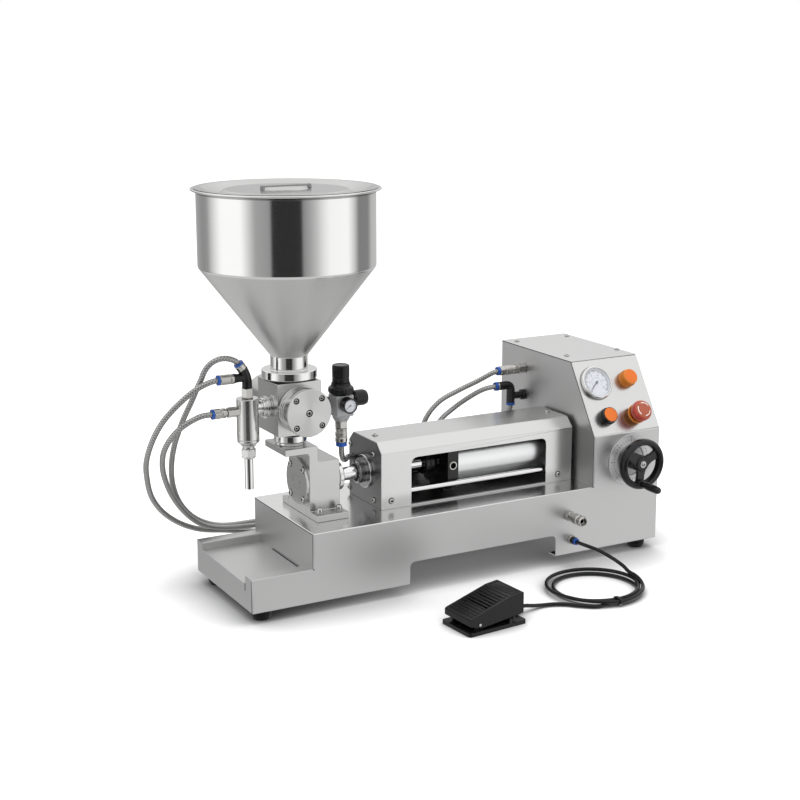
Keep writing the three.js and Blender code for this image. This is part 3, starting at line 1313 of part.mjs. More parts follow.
hosePiece('pedal_hose_tail', [
  [432.5, -172, 13], [442, -171.2, 12.4], [458, -168.6, 8.4], [480, -166, 4.4], [500, -170, 3.8],
  [521.5, -181.7, 3.7], [533.5, -194.6, 3.7], [547.7, -206.6, 3.7], [561.3, -215.9, 3.7], [575.6, -223.2, 3.7],
], hose.pedal, blackRubber(), hose.pedalStep);

// The origin goes under the middle of the machine and its pedal

machine.updateMatrixWorld(true);
const bounds = new THREE.Box3();
machine.traverse((item) => {
  if (item.isMesh && item.parent !== hoses) bounds.expandByObject(item, true);
});
const middle = bounds.getCenter(new THREE.Vector3());
machine.position.set(-middle.x, -middle.y, -bounds.min.z);

const group = new THREE.Group();
group.add(machine);
group.updateMatrixWorld(true);

export default group;
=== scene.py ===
import json
import math

import bmesh
import bpy
from mathutils import Matrix, Vector

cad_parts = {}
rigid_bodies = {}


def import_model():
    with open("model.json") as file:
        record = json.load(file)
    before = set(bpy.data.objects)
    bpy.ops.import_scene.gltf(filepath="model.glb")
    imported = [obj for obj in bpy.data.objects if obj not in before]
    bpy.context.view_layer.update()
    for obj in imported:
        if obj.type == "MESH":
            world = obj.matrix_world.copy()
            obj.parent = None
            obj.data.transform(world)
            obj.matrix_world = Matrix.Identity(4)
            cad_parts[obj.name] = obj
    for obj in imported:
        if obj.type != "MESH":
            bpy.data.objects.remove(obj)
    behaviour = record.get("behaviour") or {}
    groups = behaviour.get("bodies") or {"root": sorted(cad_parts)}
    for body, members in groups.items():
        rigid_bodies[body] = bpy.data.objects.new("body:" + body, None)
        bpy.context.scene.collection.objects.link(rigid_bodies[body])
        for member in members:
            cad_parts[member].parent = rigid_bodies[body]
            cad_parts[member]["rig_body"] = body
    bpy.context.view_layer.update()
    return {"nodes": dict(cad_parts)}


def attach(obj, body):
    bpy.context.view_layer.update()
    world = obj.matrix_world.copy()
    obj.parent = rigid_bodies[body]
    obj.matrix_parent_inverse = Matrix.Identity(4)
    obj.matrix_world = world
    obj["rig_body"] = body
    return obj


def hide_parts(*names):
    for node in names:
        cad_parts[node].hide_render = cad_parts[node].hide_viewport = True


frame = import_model()
NODES = frame["nodes"]
HOME = Vector((415.2, 51.7, 0.0))          # where the base's own zero lies in the row frame, in mm
FLAT = math.radians(0.6)                   # faces that lie closer than this to one plane are one face
SHARP = math.radians(38)                   # from here on two faces meet in an edge
FACING = 0.95                              # the share of a face's normal that makes it look one way
COS30 = math.cos(math.pi / 6)
NO_RADIUS = 1e-6


def place(x, y, z):
    """A point given in the base's millimetres, in the row frame's metres."""
    return (Vector((x, y, z)) - HOME) / 1000


def put(name, data):
    """A new object in the scene."""
    obj = bpy.data.objects.new(name, data)
    bpy.context.scene.collection.objects.link(obj)
    return obj


# Camera

camera = put("camera", bpy.data.cameras.new("camera"))
camera.data.lens = 67.68
camera.data.sensor_width = 36
camera.data.clip_end = 60
camera.location = place(-939.8, -2229.1, 964.9)
camera.rotation_euler = (math.radians(90 - 13.31), 0, math.radians(-28.81))
bpy.context.scene.camera = camera
bpy.context.scene.view_settings.view_transform = "Standard"


# Materials

class Nodes:
    """A node tree with a few short helpers. Wherever a value goes in, another node's output can."""

    def __init__(self, tree):
        self.tree = tree

    def fill(self, socket, value):
        if isinstance(value, bpy.types.NodeSocket):
            self.tree.links.new(value, socket)
        else:
            socket.default_value = value

    def add(self, kind, inputs=(), **settings):
        node = self.tree.nodes.new(kind)
        for key, value in settings.items():
            setattr(node, key, value)
        for key, value in dict(inputs).items():
            self.fill(node.inputs[key], value)
        return node

    def coordinates(self, scale=(1, 1, 1), kind="Object"):
        source = self.add("ShaderNodeTexCoord").outputs[kind]
        return self.add("ShaderNodeMapping", {"Vector": source, "Scale": scale}).outputs["Vector"]

    def noise(self, vector, scale=1.0, detail=2.0, rough=0.5):
        settings = {"Scale": scale, "Detail": detail, "Roughness": rough, "Vector": vector}
        return self.add("ShaderNodeTexNoise", settings).outputs["Fac"]

    def span(self, value, low, high, from_low=0.3, from_high=0.7):
        settings = {"Value": value, "From Min": from_low, "From Max": from_high,
                    "To Min": low, "To Max": high}
        return self.add("ShaderNodeMapRange", settings).outputs["Result"]

    def mix(self, factor, a, b):
        a, b = ((*value, 1) if isinstance(value, tuple) else value for value in (a, b))
        settings = {"A": a, "B": b, "Factor": factor}
        return self.add("ShaderNodeMix", settings, data_type="RGBA").outputs["Result"]

    def math(self, operation, *values):
        return self.add("ShaderNodeMath", enumerate(values), operation=operation).outputs[0]


class Shader(Nodes):
    """A material with its one main node."""

    def __init__(self, name="material"):
        self.material = bpy.data.materials.new(name)
        self.material.use_nodes = True
        super().__init__(self.material.node_tree)
        self.main = self.tree.nodes["Principled BSDF"]

    def set(self, inputs):
        for key, value in inputs.items():
            self.fill(self.main.inputs[key], value)

    def bump(self, height, strength, distance):
        settings = {"Strength": strength, "Distance": distance, "Height": height}
        self.set({"Normal": self.add("ShaderNodeBump", settings).outputs["Normal"]})


def shade(colour, amount):
    return tuple(min(1.0, c * amount) for c in colour)


def metal(colour, rough, grain=(60, 1400, 1400), depth=0.00004, spread=0.07, vary=0.06):
    """Bare metal with a directional grain and slow changes of tone, as rolled or machined stock has."""
    s = Shader()
    fine = s.noise(s.coordinates(grain))
    slow = s.noise(s.coordinates((1, 1, 1.6)), 9.0, 3.0, 0.55)
    both = s.math("ADD", s.math("MULTIPLY", fine, 0.55), s.math("MULTIPLY", slow, 0.45))
    s.set({"Base Color": s.mix(s.span(both, 0, 1), shade(colour, 1 - vary / 2), shade(colour, 1 + vary / 2)),
           "Roughness": s.span(both, rough - spread / 2, rough + spread / 2), "Metallic": 1.0})
    if depth:
        s.bump(fine, 0.3, depth / 8)
    return s.material


def plastic(colour, rough, scale=900.0, depth=0.00006, spread=0.06, vary=0.08, coat=0.0, metallic=0.0,
            gloss=0.5):
    """Moulded plastic, paint or rubber: a fine pebbled grain, slow dust tones and slightly uneven gloss."""
    s = Shader()
    grain = s.noise(s.coordinates(), scale)
    slow = s.noise(s.coordinates(), 28.0, 3.0)
    s.set({"Base Color": s.mix(s.span(slow, 0, 1), shade(colour, 1 - vary), shade(colour, 1 + vary)),
           "Roughness": s.span(grain, rough - spread, rough + spread), "Metallic": metallic,
           "Coat Weight": coat, "Coat Roughness": 0.12, "Specular IOR Level": gloss})
    if depth:
        s.bump(grain, 0.5, depth)
    return s.material


def spun(colour, rough, aniso):
    """A face turned on a lathe: fine rings and a glint that fans out from the middle."""
    s = Shader()
    fine = s.noise(s.coordinates(), 700.0)
    s.set({"Base Color": s.mix(s.span(fine, 0, 1), shade(colour, 0.96), shade(colour, 1.04)),
           "Roughness": s.span(fine, rough - 0.03, rough + 0.03), "Metallic": 1.0, "Anisotropic": aniso,
           "Tangent": s.add("ShaderNodeTangent", direction_type="RADIAL", axis="Y").outputs["Tangent"]})
    return s.material


def braided(colour, gap):
    """The woven cover of a hose: two sets of slanting threads over a paler core."""
    s = Shader()
    split = s.add("ShaderNodeSeparateXYZ", {"Vector": s.coordinates(kind="UV")})
    threads_round, threads_along = 2.0, 96.0      # in one turn, and in a metre
    around = s.math("MULTIPLY", split.outputs["X"], threads_round)
    along = s.math("MULTIPLY", split.outputs["Y"], threads_along)
    threads = []
    for way in (1.0, -1.0):
        phase = s.math("ADD", around, s.math("MULTIPLY", along, way))
        threads.append(s.math("ABSOLUTE", s.math("SINE", s.math("MULTIPLY", phase, math.tau))))
    weave = s.math("MULTIPLY", *threads)
    wear = s.noise(s.coordinates(), 60.0)
    tone = s.math("ADD", s.math("MULTIPLY", weave, 0.8), s.math("MULTIPLY", wear, 0.2))
    shown = s.mix(s.span(tone, 0, 1, 0.1, 0.75), gap, colour)
    s.set({"Base Color": shown, "Roughness": 0.3, "Metallic": 0.85})
    s.bump(weave, 0.35, 0.0006)
    return s.material


SHEET = {"depth": 0.0, "spread": 0.012, "vary": 0.015}
FINE_TURNED = {"grain": (30, 30, 30), "depth": 0.0, "spread": 0.02, "vary": 0.02}
M = {
    "brushed": metal((0.65, 0.65, 0.645), 0.25, **SHEET),
    # A darker, rougher copy of the brushed sheet for the base's walls: painted shade from the nearby floor
    # darkening them.
    "base": metal((0.56, 0.56, 0.557), 0.43, **SHEET),
    "deck": metal((0.74, 0.74, 0.735), 0.22, **SHEET),
    # Near-black for the frame's inner faces, underside and hem: painted shade.
    "inside_painted_shade": plastic((0.05, 0.05, 0.05), 0.5, 300.0, 0.0, metallic=0.5),
    "plate": metal((0.2, 0.2, 0.2), 0.3),
    "inside": metal((0.42, 0.42, 0.42), 0.3),
    "polished": metal((0.74, 0.74, 0.735), 0.11, (40, 40, 500), 0.0, 0.03, 0.02),
    "cone": metal((0.6, 0.6, 0.59), 0.33, (420, 420, 30), 0.00004, 0.07, 0.05),
    "machined": metal((0.58, 0.58, 0.57), 0.25, **FINE_TURNED),
    # A darker copy of the machined steel for flat tops: painted shade.
    "machined_top_painted_shade": metal((0.42, 0.42, 0.415), 0.25, **FINE_TURNED),
    "turned": metal((0.52, 0.52, 0.51), 0.18, **FINE_TURNED),
    "spun": spun((0.64, 0.64, 0.63), 0.34, 0.9),
    "chromed": metal((0.8, 0.8, 0.8), 0.07, (60, 60, 60), 0.0, 0.02, 0.02),
    "tube": metal((0.86, 0.865, 0.87), 0.33, (30, 700, 700), 0.00002, 0.04, 0.02),
    "nickel": metal((0.5, 0.49, 0.465), 0.16, (60, 60, 60), 0.0, 0.03, 0.03),
    "screw": metal((0.52, 0.52, 0.51), 0.22, (500, 500, 500), 0.00002, 0.05, 0.08),
    "black": plastic((0.007, 0.007, 0.008), 0.22, 500.0, 0.0, gloss=0.34),
    "satin": plastic((0.007, 0.007, 0.008), 0.2, 500.0, 0.0, gloss=0.36),
    "painted": plastic((0.006, 0.006, 0.007), 0.2, 500.0, 0.0, gloss=0.24),
    "rubber": plastic((0.014, 0.014, 0.014), 0.62, 1500.0, 0.00008),
    "hose black": plastic((0.005, 0.005, 0.006), 0.16, 300.0, 0.0, gloss=0.3),
    "seal": plastic((0.72, 0.7, 0.66), 0.45),
    "blue": plastic((0.008, 0.075, 0.36), 0.3),
    "orange": plastic((0.6, 0.125, 0.004), 0.42, 500.0, 0.00002),
    "amber": plastic((0.55, 0.17, 0.008), 0.38, 500.0, 0.00002),
    "red": plastic((0.36, 0.03, 0.014), 0.32, 400.0, 0.00003, coat=0.3),
    # Near-black: the dark joints of the seams, and painted shade in holes, sockets, the inlet's bore, slots
    # and relief holes.
    "dark": plastic((0.006, 0.006, 0.006), 0.6),
    "dial": plastic((0.54, 0.56, 0.6), 0.5, 300.0, 0.0, 0.04, 0.015),
    "ink": plastic((0.02, 0.02, 0.022), 0.5, 300.0, 0.0),
    "white": plastic((0.8, 0.76, 0.7), 0.45, 300.0, 0.0, 0.04, 0.02),
    "grey": plastic((0.36, 0.365, 0.37), 0.38, 600.0, 0.00004, metallic=0.4),
    # A paler, greyer red for the top of the stop button's head.
    "paler_red_top": plastic((0.33, 0.075, 0.035), 0.5, 400.0, 0.00004),
    "tick": plastic((0.02, 0.02, 0.024), 0.5, 300.0, 0.0),
    "ring": plastic((0.56, 0.56, 0.56), 0.36, 500.0, 0.0, 0.04, 0.03, metallic=0.5),
    "neck": metal((0.72, 0.72, 0.71), 0.13, (40, 40, 500), 0.0, 0.03, 0.02),
    "nozzle": metal((0.62, 0.62, 0.61), 0.2, (600, 600, 40), 0.00002, 0.05, 0.04),
    "lid": metal((0.54, 0.54, 0.535), 0.14, (40, 400, 400), 0.0, 0.04, 0.02),
    "foot": plastic((0.008, 0.008, 0.009), 0.4, 900.0, 0.00008, gloss=0.12),
    "braid": braided((0.5, 0.5, 0.492), (0.2, 0.2, 0.197)),
    # Darker steel. On the rod gland its darkness is a painted reflection of the dark end plate; it also
    # paints the shade under the hopper's rim.
    "gland": metal((0.34, 0.34, 0.34), 0.2, (500, 500, 500), 0.00002, 0.05, 0.05),
}


def glass():
    """Thin clear glass, light enough that the dial under it keeps its light."""
    s = Shader()
    s.set({"Base Color": (0.9, 0.92, 0.95, 1), "Alpha": 0.10,
           "Roughness": s.span(s.noise(s.coordinates(), 60.0), 0.03, 0.08)})
    return s.material


M["glass"] = glass()
for key, material in M.items():
    material.name = key


# Mesh helpers

SLOTS = {
    "polished": "polished_steel", "nozzle": "polished_steel", "lid": "polished_steel",
    "turned": "machined_steel", "machined": "machined_steel", "ring": "machined_steel", "nickel": "nickel",
    "satin": "black_plastic", "black": "black_plastic", "blue": "black_plastic", "amber": "orange_plastic",
    "red": "red_plastic", "chromed": "chromed_rod", "tube": "aluminium_tube", "grey": "grey_black_metal",
    "rubber": "black_rubber", "foot": "black_rubber", "hose black": "black_rubber", "braid": "braided_hose"}
AXES = {
    "x": (1, 0, 0), "-x": (-1, 0, 0), "y": (0, 1, 0), "front": (0, -1, 0), "z": (0, 0, 1), "-z": (0, 0, -1)}


def link_object(name, mesh, node=None, body=None):
    """A piece of the machine. One that stands for nodes of the model moves with them."""
    nodes = [node] if isinstance(node, str) else node or []
    obj = put(name, mesh)
    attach(obj, body or (NODES[nodes[0]]["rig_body"] if nodes else "machine"))
    if nodes:
        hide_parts(*nodes)
    return obj


def finished_mesh(obj):
    """The mesh of an object as its modifiers leave it."""
    bpy.context.view_layer.update()
    return bpy.data.meshes.new_from_object(obj.evaluated_get(bpy.context.evaluated_depsgraph_get()))


def broken_edges(obj, width, segments, angle):
    """Rounds the edges that are sharper than the angle, in degrees."""
    bevel = obj.modifiers.new("edges", "BEVEL")
    bevel.width = width / 1000
    bevel.segments = segments
    bevel.limit_method = "ANGLE"
    bevel.angle_limit = math.radians(angle)
    bevel.use_clamp_overlap = True
    return bevel


def polar(radius, angle):
    return radius * math.cos(angle), radius * math.sin(angle)


def circle(radius, steps):
    return [polar(radius, math.tau * k / steps) for k in range(steps)]


def wall(low, high, count):
    """The faces between two rings of points, from the number of each ring's first point."""
    return [(low + i, low + (i + 1) % count, high + (i + 1) % count, high + i) for i in range(count)]


def column(outline, low, high, matrix, first=0):
    """The points and faces of an outline drawn out from one height to another."""
    n = len(outline)
    verts = [matrix @ Vector((x, y, h)) for h in (low, high) for x, y in outline]
    faces = [range(n - 1, -1, -1), range(n, 2 * n), *wall(0, n, n)]
    return verts, [tuple(first + i for i in face) for face in faces]


def smooth(mesh, angle=SHARP):
    for polygon in mesh.polygons:
        polygon.use_smooth = True
    mesh.set_sharp_from_angle(angle=angle)


def weigh(obj):
    obj.modifiers.new("normals", "WEIGHTED_NORMAL").keep_sharp = True
    return obj


def build(name, verts, faces, materials, node=None, slot=None, body=None, indices=(), angle=SHARP,
          weighted=True):
    """A mesh piece from points in base millimetres. The slot of a node's material is looked up but not used.
    """
    mesh = bpy.data.meshes.new(name)
    mesh.from_pydata([place(*v) for v in verts], [], faces)
    materials = materials if isinstance(materials, (list, tuple)) else [materials]
    for m in materials:
        mesh.materials.append(M[m])
    for polygon, index in zip(mesh.polygons, indices):
        polygon.material_index = index
    mesh.validate()
    smooth(mesh, angle)
    if node and not slot:
        slot = SLOTS[materials[0]]
    obj = link_object(name, mesh, node, body)
    return weigh(obj) if weighted else obj


def soften(profile, radius, closed):
    """The same outline with each real corner rounded by a small arc."""
    steps = 3
    result = []
    count = len(profile)
    for i, corner in enumerate(profile):
        here = Vector(corner[:2])
        own = corner[2] if len(corner) > 2 else radius
        if not closed and i in (0, count - 1):
            result.append(tuple(here))
            continue
        before = Vector(profile[i - 1][:2])
        after = Vector(profile[(i + 1) % count][:2])
        a, b = before - here, after - here
        if a.length < 1e-6 or b.length < 1e-6 or own <= 0 or abs(math.pi - a.angle(b)) < math.radians(12):
            result.append(tuple(here))
            continue
        reach = min(own, a.length * 0.45, b.length * 0.45)
        start = here + a.normalized() * reach
        end = here + b.normalized() * reach
        for k in range(steps + 1):
            t = k / steps
            p = start * (1 - t) ** 2 + here * 2 * t * (1 - t) + end * t * t
            result.append(tuple(p))
    return result


def axis_matrix(origin, axis, spin=0.0):
    """Turns local z onto the axis, at an origin in base millimetres."""
    axis = Vector(AXES.get(axis, axis)).normalized()
    turn = Vector((0, 0, 1)).rotation_difference(axis)
    return Matrix.Translation(Vector(origin)) @ turn.to_matrix().to_4x4() @ Matrix.Rotation(spin, 4, "Z")


def six_flats(angle):
    """The reach of a hexagon in a direction, as a share of its corner radius."""
    return COS30 / math.cos(angle % (math.pi / 3) - math.pi / 6)


def turned(name, profile, origin, axis, materials, node=None, slot=None, body=None, steps=96, edge=0.5,
           pick=None, closed=False, open_foot=False, hexagon=None, flutes=None):
    """A turned piece. The profile is (radius, height) from foot to head, closed on the axis or on itself.

    hexagon trims it to six flats of that corner radius. flutes is (count, depth, lowest, highest)."""
    if not closed:
        foot, head = profile[0], profile[-1]
        ends = [(0, foot[1])] * (foot[0] > 0 and not open_foot), [(0, head[1])] * (head[0] > 0)
        profile = ends[0] + profile + ends[1]
    points = soften(profile, edge, closed)
    matrix = axis_matrix(origin, axis)

    def trimmed(radius, height, angle):
        if hexagon:
            radius = min(radius, hexagon * six_flats(angle))
        if flutes and flutes[2] <= height <= flutes[3]:
            radius -= flutes[1] * (0.5 - 0.5 * math.cos(flutes[0] * angle))
        return radius

    verts, starts = [], []
    for radius, height in points:
        starts.append(len(verts))
        if radius < NO_RADIUS:
            verts.append(matrix @ Vector((0, 0, height)))
            continue
        for i in range(steps):
            angle = math.tau * i / steps
            verts.append(matrix @ Vector((*polar(trimmed(radius, height, angle), angle), height)))
    faces, indices = [], []
    count = len(points)
    for a, b in zip(range(count if closed else count - 1), [*range(1, count), 0]):
        (low_radius, low), (high_radius, high) = points[a], points[b]
        sides = wall(starts[a], starts[b], steps)
        if low_radius < NO_RADIUS and high_radius < NO_RADIUS:
            continue
        if low_radius < NO_RADIUS:
            sides = [(starts[a], right, left) for _, _, right, left in sides]
        elif high_radius < NO_RADIUS:
            sides = [(left, right, starts[b]) for left, right, _, _ in sides]
        faces += sides
        indices += [pick((low_radius + high_radius) / 2, (low + high) / 2) if pick else 0] * steps
    return build(name, verts, faces, materials, node, slot, body, indices)


LONG_FOLD, WIDE_FACE = 0.045, 0.008      # metres
CLEAR, SHORTEST = 0.006, 0.02            # how far a seam ends from a corner, and the shortest edge it needs


def bent(mesh):
    """The long outer folds of a sheet, where two wide faces meet."""
    def length(edge):
        a, b = (mesh.vertices[v].co for v in mesh.edges[edge].vertices)
        return (a - b).length

    faces = {}
    for polygon in mesh.polygons:
        own = [mesh.loops[l].edge_index for l in polygon.loop_indices]
        wide = polygon.area / max(map(length, own))
        for edge in own:
            faces.setdefault(edge, []).append((polygon, wide))
    result = []
    for edge, sides in faces.items():
        if len(sides) != 2 or length(edge) < LONG_FOLD:
            continue
        (a, wide_a), (b, wide_b) = sides
        hollow = (b.center - a.center).dot(a.normal) > 1e-5
        if a.normal.angle(b.normal, 0) > math.radians(20) and min(wide_a, wide_b) > WIDE_FACE and not hollow:
            result.append(edge)
    return result


def clear_corners(mesh):
    """Ends the flat seams of a face a little away from the corners where its folds meet."""
    bm = bmesh.new()
    bm.from_mesh(mesh)
    layer = bm.edges.layers.float["bevel_weight_edge"]
    reach = CLEAR
    for vert in list(bm.verts):
        for _ in range(6):
            found = None
            for loop in vert.link_loops:
                here, before = loop.edge, loop.link_loop_prev.edge
                for flat, fold in ((here, before), (before, here)):
                    if (flat[layer] == 0 and fold[layer] > 0 and len(flat.link_faces) == 2
                            and flat.calc_face_angle(0) < FLAT
                            and min(flat.calc_length(), fold.calc_length()) > SHORTEST):
                        found = (loop.face, flat, fold)
            if not found:
                break
            face, flat, fold = found
            inner = bmesh.utils.edge_split(flat, vert, reach / flat.calc_length())[1]
            outer = bmesh.utils.edge_split(fold, vert, reach / fold.calc_length())[1]
            bmesh.utils.face_split(face, inner, outer)
            stub = next(e for e in vert.link_edges if e.other_vert(vert) is inner)
            bmesh.ops.dissolve_edges(bm, edges=[stub], use_verts=False)
            reach *= 0.9
    bm.to_mesh(mesh)
    bm.free()


def dressed(node, materials, bevel=0.5, segments=2, pick=None, folds=False, shape=None):
    """A copy of a CAD node with its facets merged into clean faces and its edges broken."""
    mesh = NODES[node].data.copy()
    mesh.name = node + "_dressed"
    bm = bmesh.new()
    bm.from_mesh(mesh)
    bmesh.ops.remove_doubles(bm, verts=bm.verts, dist=2e-6)
    bmesh.ops.dissolve_limit(bm, angle_limit=FLAT, verts=bm.verts, edges=bm.edges)
    for face in bm.faces:
        face.smooth = True
    bm.to_mesh(mesh)
    bm.free()
    for vertex in mesh.vertices if shape else []:
        vertex.co = place(*shape(*(vertex.co * 1000 + HOME)))
    for name in [a.name for a in mesh.attributes if a.name in ("custom_normal", "sharp_edge", "sharp_face")]:
        mesh.attributes.remove(mesh.attributes[name])
    if folds:
        weights = mesh.attributes.new("bevel_weight_edge", "FLOAT", "EDGE")
        for edge in bent(mesh):
            weights.data[edge].value = 1.0
        clear_corners(mesh)
    mesh.materials.clear()
    for m in materials:
        mesh.materials.append(M[m])
    for polygon in mesh.polygons:
        polygon.material_index = pick(polygon) if pick else 0
        polygon.use_smooth = True
    obj = link_object(node + "_dressed", mesh, node)
    if bevel:
        edges = broken_edges(obj, bevel, segments, 34)
        edges.miter_outer = "MITER_ARC"
        if folds:
            edges.limit_method = "WEIGHT"
            edges.use_clamp_overlap = False
    mesh.set_sharp_from_angle(angle=math.radians(60 if bevel else 34))
    return weigh(obj)


def catmull(points, per=8):
    """A smooth line through the points, spaced by the square root of their distances."""
    p = [Vector(q) for q in points]
    p = [p[0] * 2 - p[1]] + p + [p[-1] * 2 - p[-2]]
    line = []
    for i in range(1, len(p) - 2):
        a, b, c, d = p[i - 1:i + 3]
        t0, t1, t2 = (max((v - u).length, 1e-9) ** 0.5 for u, v in ((a, b), (b, c), (c, d)))
        m1 = ((b - a) / t0 - (c - a) / (t0 + t1) + (c - b) / t1) * t1
        m2 = ((c - b) / t1 - (d - b) / (t1 + t2) + (d - c) / t2) * t1
        for k in range(per):
            s = k / per
            line.append(b * (2 * s ** 3 - 3 * s * s + 1) + m1 * (s ** 3 - 2 * s * s + s)
                        + c * (3 * s * s - 2 * s ** 3) + m2 * (s ** 3 - s * s))
    line.append(p[-2])
    return line


def even(line, gap):
    """The same line with points a fixed gap apart."""
    total = sum((b - a).length for a, b in zip(line, line[1:]))
    count = max(2, round(total / gap))
    result, walked, i = [line[0]], 0.0, 0
    for k in range(1, count):
        target = total * k / count
        while walked + (line[i + 1] - line[i]).length < target:
            walked += (line[i + 1] - line[i]).length
            i += 1
        step = (line[i + 1] - line[i]).length
        result.append(line[i].lerp(line[i + 1], (target - walked) / step))
    return result + [line[-1]]


def pipe(name, line, radius, material, node=None, body=None, sides=20, radii=None):
    """A round tube along a line of points, with the length along it and the way round it as its map."""
    frames = []
    normal = None
    for i, point in enumerate(line):
        ahead = line[min(i + 1, len(line) - 1)] - line[max(i - 1, 0)]
        ahead.normalize()
        if normal is None:
            normal = ahead.orthogonal().normalized()
        normal = (normal - ahead * normal.dot(ahead)).normalized()
        frames.append((point, normal.copy(), ahead.cross(normal)))
    verts, faces = [], []
    for i, (point, u, v) in enumerate(frames):
        r = radii[i] if radii else radius
        for k in range(sides):
            angle = math.tau * k / sides
            verts.append(point + (u * math.cos(angle) + v * math.sin(angle)) * r)
    for i in range(len(line) - 1):
        faces += wall(i * sides, (i + 1) * sides, sides)
    faces += [tuple(reversed(range(sides))), tuple(range((len(line) - 1) * sides, len(line) * sides))]
    obj = build(name, verts, faces, material, node, None, body, weighted=False)
    lengths = [0.0]
    for a, b in zip(line, line[1:]):
        lengths.append(lengths[-1] + (b - a).length / 1000)
    layer = obj.data.uv_layers.new(name="UVMap")
    for polygon in obj.data.polygons:
        for loop in polygon.loop_indices:
            vertex = obj.data.loops[loop].vertex_index
            ring, k = divmod(vertex, sides)
            around = k / sides
            corners = (obj.data.loops[o].vertex_index for o in polygon.loop_indices)
            if around == 0 and any(corner % sides == sides - 1 for corner in corners):
                around = 1.0
            layer.data[loop].uv = (around, lengths[ring])
    return obj, lengths[-1]


# Hoses: the points each one's middle line goes through, from its upper end

AIR_HOSE, PEDAL_HOSE = 5.0, 3.5      # outer radii
ROUTES = {
    "nozzle_hose_upper": [
        (39.1, 127, 427.7), (37.3, 127, 430.2), (33.2, 126.6, 434), (24.5, 126.5, 438.3),
        (13.4, 127.8, 440.8), (0.8, 130.2, 439.1), (-11.1, 133.9, 432.1), (-20.1, 138.5, 419.1),
        (-24.2, 143.9, 404.7), (-29.4, 150.8, 388.5), (-36.1, 161, 364.5), (-46.2, 178, 329.4),
        (-54.1, 207, 275.5), (-54, 226, 231), (-44, 247, 188.6), (-24, 265, 147.4), (10.5, 281, 110.9),
        (59.8, 291, 87.8), (150, 296, 82), (300, 297, 80), (410, 297, 88), (462, 296, 120),
        (488, 294, 180), (504, 290, 240), (532, 286, 272), (572, 277, 293), (608, 261, 312),
        (630, 248, 326.5), (639, 244.2, 330.6), (645.7, 244, 331)],
    "nozzle_hose_middle": [
        (1.6, 127, 403.4), (-7, 127.1, 403.2), (-18, 131, 399.4), (-36.4, 138, 389.2), (-60.4, 150, 367.3),
        (-85.4, 166, 335.3), (-100.3, 185, 298.3), (-107, 205, 255), (-101, 224, 220), (-87, 243, 177),
        (-61, 259, 140), (-23, 271, 109), (18.6, 279, 89.3), (66, 283, 79), (140, 284, 66), (320, 284, 62),
        (440, 284, 78), (496, 284, 130), (514, 284, 190), (532, 284, 232), (562, 281, 256),
        (590, 268, 278), (614, 252, 295), (632, 244.1, 299.9), (641.6, 244, 300)],
    "nozzle_hose_lower": [
        (-10.6, 127, 345), (-18, 127.4, 344.8), (-31, 131, 343), (-55.7, 141, 329.5), (-73.8, 156, 308.4),
        (-84.1, 176, 277.7), (-80.5, 198, 242.1), (-66.2, 219, 203.8), (-46, 238, 167.6),
        (-16.8, 254, 130.4), (14, 266, 104.5), (50.8, 270, 90.5), (120, 270, 84), (340, 270, 84),
        (480, 270, 96), (560, 270, 130), (610, 268, 178), (646, 258, 214), (668, 247, 240),
        (673.6, 244.2, 254), (674, 244, 263.7)],
    "regulator_hose": [
        (224, 105, 263.7), (224, 105, 258.5), (225.3, 106.9, 250), (229.4, 112.2, 240.1),
        (237.6, 122.2, 232), (249.9, 137.1, 228.9), (261.2, 152.4, 227.8), (272.5, 163.8, 222.9),
        (283, 170.8, 219.9), (296.1, 175.7, 219.5), (315, 176.2, 220.5), (340, 171.5, 223.5),
        (368, 164, 227.5), (395, 158, 230.6), (410, 155.2, 231.9), (417.7, 155, 232)],
}
PEDAL_LEAD = [
    (657, -15.3, 49), (657.6, -24, 48.6), (664, -38, 46.6), (678, -58, 41), (692, -84, 31),
    (699, -108, 22.5)]
PEDAL_TAIL = [
    (561.3, -215.9, 3.7), (547.7, -206.6, 3.7), (533.5, -194.6, 3.7), (521.5, -181.7, 3.7), (500, -170, 3.8),
    (480, -166, 4.4), (458, -168.6, 8.4), (442, -171.2, 12.4), (432.5, -172, 13)]


def hose(name, route, per, radius, material, nodes, sides=20):
    line = even(catmull(route, per), 4.0)
    obj, length = pipe(name, line, radius, material, nodes, sides=sides)


for name, route in ROUTES.items():
    hose(name + "_braided", route, 12, AIR_HOSE, "braid", name)


COIL_MIDDLE = (613, -139)
# One row: share of the coil's length, radius and height of the hose's middle line
COIL = [
    (0.0, 83, 18.2), (0.06, 87, 11.5), (0.119, 88, 8.6), (0.15, 88, 11.2), (0.19, 87.5, 11.5),
    (0.25, 87.5, 9.4), (0.334, 87, 8.6), (0.43, 83, 10.5), (0.5, 77, 9.5), (0.548, 75, 8.4), (0.65, 75, 5),
    (0.763, 76, 3.8), (0.86, 77.5, 3.8), (0.93, 81.5, 3.7), (0.977, 81.4, 3.7), (1.0, 80, 3.7)]


def coil_at(share):
    """Radius and height of the coil at a share of its length."""
    for (a, r0, z0), (b, r1, z1) in zip(COIL, COIL[1:]):
        if share <= b:
            t = (share - a) / (b - a)
            t = t * t * (3 - 2 * t)
            return r0 + (r1 - r0) * t, z0 + (z1 - z0) * t
    return COIL[-1][1:]


def around_coil(radius, angle):
    """A place on the floor, from the coil's middle."""
    x, y = polar(radius, angle)
    return COIL_MIDDLE[0] + x, COIL_MIDDLE[1] + y


